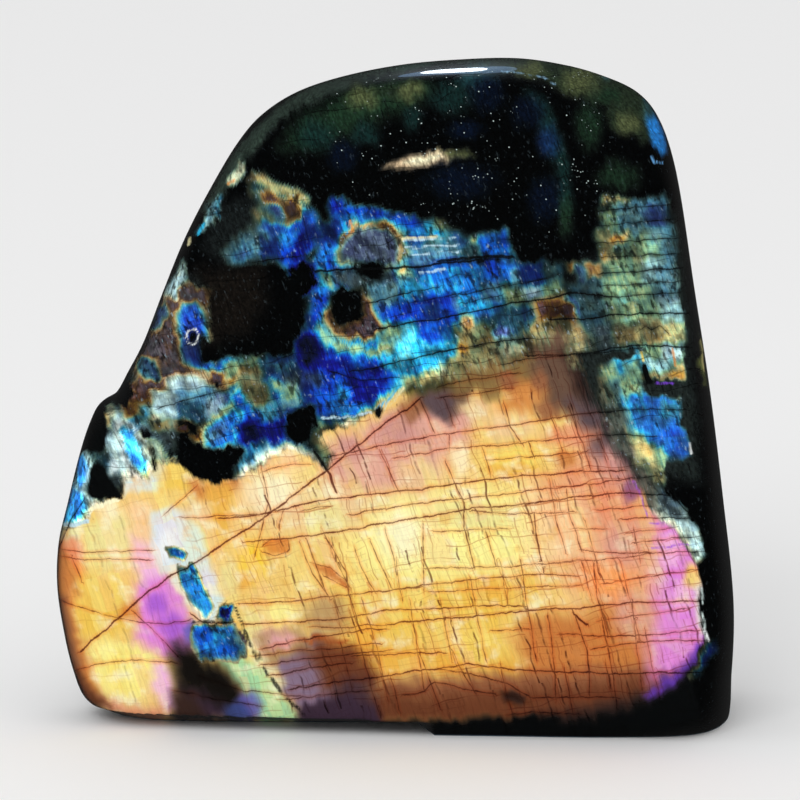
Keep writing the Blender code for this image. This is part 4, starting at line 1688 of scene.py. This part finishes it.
def shaken_level(g, grain, level, gold_in):
    """The level, drawn towards the fringe level at the gold field's border, and shaken."""
    push = g.step(gold_in, -FRINGE, 0.0)
    level = g.plus(level, g.times(g.less(FRINGE_LEVEL, level), push))
    shake = g.plus(
        g.centred(grain.streaks, STREAK_SHAKE),
        g.centred(grain.fine, FINE_SHAKE),
        g.centred(grain.bricks["usual"]["Block"], BLOCK_SHAKE),
        g.centred(g.noise(grain.place, *SHAKE_CLOUD), CLOUD_SHAKE),
    )
    off_green = g.step(g.math("ABSOLUTE", g.less(level, GREEN_LEVEL)), *GREEN_SPREAD)
    return g.plus(level, g.times(shake, g.between(off_green, GREEN_SHAKE, 1.0)))


def flash_colour(g, grain, gold_in):
    """The ramp's colour at the shaken level, washed out by a low purity and dimmed by the gain,
    by patches of weaker light and by the pools."""
    level, gain, purity = g.parts("flash")
    flash = ramp_colour(g, shaken_level(g, grain, level, gold_in))
    plain = g.brightness(flash)
    flash = g.mix(purity, g.join(plain, plain, plain), flash)
    blots = g.plus(grain.rag, g.centred(g.noise(grain.turned, *POOL_BLOTS), POOL_BLOT_SIZE))
    pool = g.step(g.plus(g.parts("pools")[0], blots), *POOL_EDGE)
    patches = g.between(g.patches(grain.turned, *GAIN_PATCHES), *GAIN_RANGE)
    return g.dimmed(flash, g.times(gain, patches, pool))


def haze_colour(g, grain):
    """The drawn haze with its painted highlights, made uneven by dust."""
    dust = g.between(g.patches(grain.stretched, *DUST_PATCHES), *DUST_RANGE)
    return g.dimmed(g.attribute("haze")["Color"], dust)


# %% [markdown]
# Seen close, a flash is not an even film. Dull crumbs lie in it, and small plates that mirror the
# light whole. Both are noise cut into patches, and both are held back where no flash is.

# %% Crumbs and sparks
LIT_FROM = (0.0, 0.06)
CRUMB_PLACES = (0.03, 1, 0.30, 0.6)
CRUMBS = (0.20, 5, 0.54, 0.36)
CRUMB_RANGE = (0.30, 0.85)
SPARKS = (0.33, 4, 0.60, 0.74)
SPARK_RANGE = (0.03, 0.33)


def add_crumbs(g, grain, colour, flash):
    """Mixes black crumbs and pale sparks over the colour, where the flash is lit."""
    lit = g.step(g.brightness(flash), *LIT_FROM)
    crumbs = g.patches(grain.stretched, *CRUMBS)
    crumbs = g.times(crumbs, g.between(g.patches(grain.place, *CRUMB_PLACES), *CRUMB_RANGE))
    colour = g.mix(g.times(crumbs, lit), colour, "black")
    sparks = g.patches(grain.stretched, *SPARKS)
    return g.mix(g.times(sparks, g.between(lit, *SPARK_RANGE)), colour, "ice")


# %% [markdown]
# The gold field is brighter and calmer than the rest, so it has its own soft drawing. Here only
# tones come over it, in the bricks of the largest hairlines and in clouds, and only where it is
# bright: a shadow would turn milky.

# %% The gold field
GOLD_RAG = 0.6
GOLD_EDGE = (-1.0, 4.0)
GOLD_BRIGHT = (0.25, 0.65)
GOLD_CLOUD = (0.05, 3)
GOLD_TONES = (
    ("Block", (0.55, 1.0), 0.35, "peach"),
    ("Block", (0.40, 0.0), 0.30, "lemon"),
    ("Cloud", (0.52, 0.75), 0.65, "ivory"),
    ("Cloud", (0.44, 0.24), 0.5, "amber"),
)


def gold_colour(g, grain):
    """The drawn gold, with each tone mixed over it by its share where the field is bright."""
    gold = g.attribute("gold")["Color"]
    values = {
        "Block": grain.bricks["large"]["Block"],
        "Cloud": g.noise(grain.place, *GOLD_CLOUD),
    }
    strong = g.step(g.brightness(gold), *GOLD_BRIGHT)
    for value, ends, share, name in GOLD_TONES:
        tone = g.times(g.step(values[value], *ends), share, strong)
        gold = g.mix(tone, gold, name)
    return gold


# %% [markdown]
# Strokes and chips are cut from their stored depths, and then a fine light and dark goes over the
# whole face, less over the gold. Where the surface turns away from the eye the flash goes out, as
# on the real stone, and leaves the dark body.

# %% Strokes, chips and the shade of the fibres
OUT_OF_SIGHT = 0.85
STROKE_RAG = 0.3
STROKE_EDGE = (-1.2, 0.9)
STROKE_STRENGTH = 0.9
CHIP_RAG = 0.6
CHIP_EDGE = (-2.0, 1.6)
GOLD_CALM = 0.35
STREAK_SHADE_EDGE = (0.36, 0.64)
STREAK_SHADE = (-0.13, 0.09)
FINE_SHADE = 0.46


def add_marks(g, grain, colour, facing, stroke_in, chip_in):
    """The body where the surface turns away, then the strokes, then the chips."""
    unlit = g.mix(OUT_OF_SIGHT, colour, "pine")
    colour = g.mix(g.less(1.0, facing), colour, unlit)
    stroke = g.step(g.plus(stroke_in, g.times(grain.rag, STROKE_RAG)), *STROKE_EDGE)
    colour = g.mix(g.times(stroke, STROKE_STRENGTH), colour, g.attribute("strokes")["Color"])
    chip = g.step(g.plus(chip_in, g.times(grain.rag, CHIP_RAG)), *CHIP_EDGE)
    return g.mix(chip, colour, "black")


def add_shade(g, grain, colour, gold):
    """The colour times one plus two small shades, of the streaks and of the fine streaks."""
    strength = g.between(gold, 1.0, GOLD_CALM)
    streaks = g.times(g.between(g.step(grain.streaks, *STREAK_SHADE_EDGE), *STREAK_SHADE), strength)
    shade = g.plus(streaks, g.times(g.centred(grain.fine, FINE_SHADE), strength), 1.0)
    return g.dimmed(colour, shade)


# %% [markdown]
# A cleavage crack is a dark line with a soft glow beside it, where light leaks along the plane. It
# is black in the flash and brown in the gold. The drawn cracks come first, then the hairlines,
# and on the gold some long steep lines. The hairlines leave some parts of the stone calm.

# %% Cracks and hairlines
CRACK_WOBBLE = 1.8
CRACK_WIDEN = (0.12, 3)
CRACK_WIDEN_SIZE = 1.6
CRACK_WIDEN_SHARE = 0.9
CRACK_LINE = (0.3, -1.0)
CRACK_LINE_NEAR = (4.5, 2.6)
CRACK_HALO = (3.4, 0.0)
CRACK_HALO_NEAR = (9.0, 3.0)
CRACK_STRENGTH = 0.93
HALO_STRENGTH = 0.35
CALM_LEFT = (-60.0, -190.0)
CALM_PATCHES = (0.02, 2, 0.45, 0.62)
HAIR_RANGE = (0.85, 0.25)
HAIR_TINT = 0.35
LONG_PATCHES = (0.09, 3, 0.36, 0.56)
LONG_RANGE = (1.0, 0.3)
LONG_STRENGTH = 0.9
SMALL_FLAT = 0.4
SMALL_STEEP = 0.5
USUAL_STEEP = 0.8


def crack_masks(g, grain, number, widen):
    """Line and halo of one set of cracks. Both are zero where the plain distance is large, since
    there the signed distance may only be changing from one crack to the next."""
    side, near, half = g.parts(f"cracks_{number}")
    off = g.math("ABSOLUTE", g.plus(side, g.centred(grain.fine, CRACK_WOBBLE)))
    edge = g.less(off, g.math("MULTIPLY_ADD", widen, CRACK_WIDEN_SHARE, half))
    line = g.times(g.step(edge, *CRACK_LINE), g.step(near, *CRACK_LINE_NEAR))
    halo = g.times(g.step(edge, *CRACK_HALO), g.step(near, *CRACK_HALO_NEAR))
    return line, halo


def add_cracks(g, grain, colour, gold):
    """Halo, hairlines and lines over the colour. Also the masks that the bump needs."""
    widen = g.centred(g.noise(grain.place, *CRACK_WIDEN), CRACK_WIDEN_SIZE)
    masks = [crack_masks(g, grain, number, widen) for number in range(CRACK_SETS)]
    drawn = g.largest(*(line for line, _ in masks))
    halo = g.largest(*(glow for _, glow in masks))
    usual, small, large = (grain.bricks[name] for name in ("usual", "small", "large"))
    flat = g.largest(usual["Flat"], g.times(small["Flat"], SMALL_FLAT))
    steep = g.largest(large["Steep"], g.times(usual["Steep"], USUAL_STEEP))
    steep = g.largest(steep, g.times(small["Steep"], SMALL_STEEP))
    calm = g.times(g.step(grain.across, *CALM_LEFT), gold)
    calm = g.largest(calm, g.patches(grain.turned, *CALM_PATCHES))
    hairs = g.times(g.largest(flat, steep), g.between(calm, *HAIR_RANGE))
    hair_colour = g.tinted(colour, g.mix(gold, "pine", "rust"))
    glow = g.tinted(colour, g.mix(gold, "pine", "apricot"))
    colour = g.mix(g.times(halo, HALO_STRENGTH), colour, glow)
    colour = g.mix(hairs, colour, g.mix(HAIR_TINT, hair_colour, colour))
    brown = g.tinted(colour, "crack_brown")
    crack_colour = g.mix(gold, "black", brown)
    long_lines = g.times(grain.bricks["tall"]["Steep"], g.between(calm, *LONG_RANGE))
    long_lines = g.times(long_lines, g.patches(grain.place, *LONG_PATCHES))
    drawn = g.largest(drawn, g.times(long_lines, gold, LONG_STRENGTH))
    colour = g.mix(g.times(drawn, CRACK_STRENGTH), colour, crack_colour)
    return colour, drawn, flat


# %% [markdown]
# In the black top lie single bright specks, painted glints of light. Each is the middle of a cell of
# a Voronoi pattern, and a random value, raised and lowered by a slow noise, says which cells have
# one. So they come in loose swarms, in two sizes.

# %% Specks: cells per unit; dot edge; swarm scale and weight; which are kept
SPECKS = (
    (0.15, (0.13, 0.052), 0.035, 0.9, (1.06, 1.18)),
    (0.4, (0.30, 0.10), 0.05, 1.6, (1.80, 1.92)),
)
SPECK_STRENGTH = 0.8


def add_specks(g, grain, colour, speckled):
    """Pale dots, one in each kept cell: painted glints."""
    swarms = []
    for cell_scale, dot_edge, swarm_scale, swarm_weight, kept_edge in SPECKS:
        cells = g.node("ShaderNodeTexVoronoi", feature="F1")
        g.feed(cells.inputs["Vector"], grain.place)
        g.feed(cells.inputs["Scale"], cell_scale)
        dot = g.step(cells.outputs["Distance"], *dot_edge)
        chance = g.split(cells.outputs["Color"])[0]
        swarm = g.noise(grain.place, swarm_scale, 2)
        kept = g.step(g.math("MULTIPLY_ADD", swarm, swarm_weight, chance), *kept_edge)
        swarms.append(g.times(dot, kept))
    share = g.times(g.largest(*swarms), speckled, SPECK_STRENGTH)
    return g.mix(share, colour, "frost")


# %% [markdown]
# Behind the girdle there is no flash: the body is a very dark green, clouded with blue and olive.
# The base is sawn, not polished, so it is grey and dull and has no coat.

# %% The body, the base, and the whole material
BODY_TEAL = (0.012, 3, 0.45, 0.7)
BODY_MOSS = (0.02, 2, 0.55, 0.75)
BODY_LINES = 0.35
SAWN_UP_TO_M = (0.0003, 0.0001)
ROUGHNESS_RANGE = (0.35, 0.70)
COAT_ROUGHNESS = 0.03
COAT_IOR = 1.56
SPECULAR_LEVEL = 0.1
BUMP_STRENGTH = 0.35
BUMP_DISTANCE_M = 0.0001
HAIR_DEPTH = -0.4


def body_colour(g, grain):
    """Pine green, with clouds of teal and moss and a few flat hairlines."""
    body = g.mix(g.patches(grain.place, *BODY_TEAL), "pine", "deep_teal")
    body = g.mix(g.patches(grain.place, *BODY_MOSS), body, "moss")
    return g.mix(g.times(grain.bricks["usual"]["Flat"], BODY_LINES), body, "bevel")


def stone_material():
    """All effects in the order in which they lie over each other, under one clear coat."""
    material = bpy.data.materials.new("labradorite_polished")
    material.use_nodes = True
    tree = material.node_tree
    tree.nodes.clear()
    g = Graph(tree)
    grain = Grain(g)
    gold_in, stroke_in, chip_in = g.parts("depths")
    front, facing, speckled = g.parts("shares")
    gold_in = g.plus(gold_in, g.times(grain.rag, GOLD_RAG))
    gold = g.step(gold_in, *GOLD_EDGE)
    flash = flash_colour(g, grain, gold_in)
    colour = g.mix(1.0, haze_colour(g, grain), flash, "ADD")
    colour = add_crumbs(g, grain, colour, flash)
    colour = g.mix(gold, colour, gold_colour(g, grain))
    colour = add_marks(g, grain, colour, facing, stroke_in, chip_in)
    colour = add_shade(g, grain, colour, gold)
    colour, drawn, flat = add_cracks(g, grain, colour, gold)
    colour = add_specks(g, grain, colour, speckled)
    colour = g.mix(front, body_colour(g, grain), colour)
    height = g.split(g.node("ShaderNodeTexCoord").outputs["Object"])[2]
    sawn = g.step(height, *SAWN_UP_TO_M)
    colour = g.mix(sawn, colour, "slate")

    shader = tree.nodes.new("ShaderNodeBsdfPrincipled")
    shader.inputs["Coat Roughness"].default_value = COAT_ROUGHNESS
    shader.inputs["Coat IOR"].default_value = COAT_IOR
    shader.inputs["Specular IOR Level"].default_value = SPECULAR_LEVEL
    g.feed(shader.inputs["Base Color"], colour)
    g.feed(shader.inputs["Roughness"], g.between(sawn, *ROUGHNESS_RANGE))
    g.feed(shader.inputs["Coat Weight"], g.less(1.0, sawn))
    bump = tree.nodes.new("ShaderNodeBump")
    bump.inputs["Strength"].default_value = BUMP_STRENGTH
    bump.inputs["Distance"].default_value = BUMP_DISTANCE_M
    g.feed(bump.inputs["Height"], g.less(g.times(flat, HAIR_DEPTH), drawn))
    g.feed(shader.inputs["Normal"], bump.outputs[0])
    out = tree.nodes.new("ShaderNodeOutputMaterial")
    tree.links.new(shader.outputs[0], out.inputs[0])
    print("material:", len(tree.nodes), "nodes")
    return material


# %% [markdown]
# The stone is one piece, so one object rides on the root of the part and takes the place of the
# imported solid. Its place is in the mesh: the object stays at the origin, unturned.

# %% Put the piece in the scene
def place_object(name, data):
    """An object at the origin, linked to the scene."""
    made = bpy.data.objects.new(name, data)
    bpy.context.scene.collection.objects.link(made)
    return made


mesh.materials.append(stone_material())
mesh.polygons.foreach_set("use_smooth", np.ones(len(mesh.polygons), bool))
stone = place_object("stone", mesh)
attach(stone, "root")
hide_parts("labradorite_stone")
print("stone:", len(mesh.polygons), "faces")

# %% [markdown]
# ## Floor, light and camera
#
# The stone stands on a plain pale floor in even studio light. A plane of diffuse paper is enough,
# and it is hidden from mirror rays, because the dark polish should not show it.

# %% Floor
FLOOR_SIZE_M = 12.0
FLOOR_COLOUR = (0.93, 0.93, 0.93, 1.0)
FLOOR_ROUGHNESS = 0.9


def plain_material(name, colour, roughness):
    """One colour and one roughness all over."""
    material = bpy.data.materials.new(name)
    material.use_nodes = True
    shader = material.node_tree.nodes["Principled BSDF"]
    shader.inputs["Base Color"].default_value = colour
    shader.inputs["Roughness"].default_value = roughness
    return material


half_floor = FLOOR_SIZE_M / 2
floor_corners = [(x * half_floor, y * half_floor, 0) for x, y in ((-1, -1), (1, -1), (1, 1), (-1, 1))]
floor_mesh = bpy.data.meshes.new("floor")
floor_mesh.from_pydata(floor_corners, [], [(0, 1, 2, 3)])
floor_mesh.materials.append(plain_material("floor_paper", FLOOR_COLOUR, FLOOR_ROUGHNESS))
floor = place_object("floor", floor_mesh)
floor.visible_glossy = False
print("floor, m:", FLOOR_SIZE_M)

# %% [markdown]
# In a white room a polished stone would show the room and hide its flash. So the world is white
# for the eye and for the colours, and nearly dark for mirror rays.

# %% World
AMBIENT = 0.85
MIRRORED = 0.02

world = bpy.data.worlds.new("studio")
bpy.context.scene.world = world
world.use_nodes = True
world.node_tree.nodes.clear()
g = Graph(world.node_tree)
path = world.node_tree.nodes.new("ShaderNodeLightPath")
seen = g.between(path.outputs["Is Glossy Ray"], AMBIENT, MIRRORED)
seen = g.largest(seen, path.outputs["Is Camera Ray"])
back = g.node("ShaderNodeBackground", (1.0, 1.0, 1.0, 1.0), seen)
out = world.node_tree.nodes.new("ShaderNodeOutputWorld")
world.node_tree.links.new(back.outputs[0], out.inputs[0])
print("world: light", AMBIENT, "and in the polish", MIRRORED)

# %% [markdown]
# One soft lamp lights the colours, and mirror rays do not see it. Two small lamps behind the stone
# are for the polish alone: they make the white glint along the top ridge and the blue glow round
# it. They are round, so the glint runs out to a point at both ends.

# %% Lamps
RIDGE_M = (0.007, -0.008, 0.117)
WHITE = (1.0, 1.0, 1.0)
COOL_WHITE = (0.86, 0.95, 1.0)
SKY_BLUE = (0.35, 0.6, 1.0)


def lamp(name, place, aim, size, watts, colour, mirrored=True):
    """A lamp at a place in metres, turned to its aim. It is for mirror rays alone, or for all
    others but those."""
    data = bpy.data.lights.new(name, "AREA")
    data.shape = "ELLIPSE" if mirrored else "RECTANGLE"
    data.size, data.size_y = size
    data.energy = watts
    data.color = colour
    made = place_object(name, data)
    made.location = place
    made.rotation_euler = (Vector(aim) - Vector(place)).to_track_quat("-Z", "Y").to_euler()
    made.visible_glossy = mirrored
    made.visible_diffuse = not mirrored
    made.visible_camera = False
    print("lamp:", name, watts, "W")


target = Vector(TARGET_MM) * MM
lamp("front", (-0.5, -1.4, 1.1), target, size=(0.8, 0.8), watts=9.0, colour=WHITE, mirrored=False)
lamp("ridge_glint", (-0.05, 1.17, 1.03), RIDGE_M, size=(0.13, 0.24), watts=1.2, colour=COOL_WHITE)
lamp("ridge_glow", (-0.02, 1.12, 1.08), RIDGE_M, size=(0.34, 0.40), watts=0.4, colour=SKY_BLUE)

# %% [markdown]
# The camera stands where the plan is read from: two metres off, looking down by 12 degrees. The
# lens follows from the plan, so that the view is as wide as the plan.

# %% Camera
SENSOR_MM = 36.0
CLIP_END_M = 50.0
eye = np.array(TARGET_MM) * MM - INWARD * VIEW_DISTANCE_M
camera_data = bpy.data.cameras.new("eye")
camera_data.sensor_width = SENSOR_MM
camera_data.lens = SENSOR_MM * VIEW_DISTANCE_M / (2 * PLAN_MIDDLE * PLAN_UNIT_MM * MM)
camera_data.clip_end = CLIP_END_M
camera = place_object("eye", camera_data)
camera.location = eye
camera.rotation_euler = (target - Vector(eye)).to_track_quat("-Z", "Y").to_euler()
bpy.context.scene.camera = camera
bpy.context.scene.view_settings.view_transform = "Standard"
print("lens, mm:", round(camera_data.lens, 1))
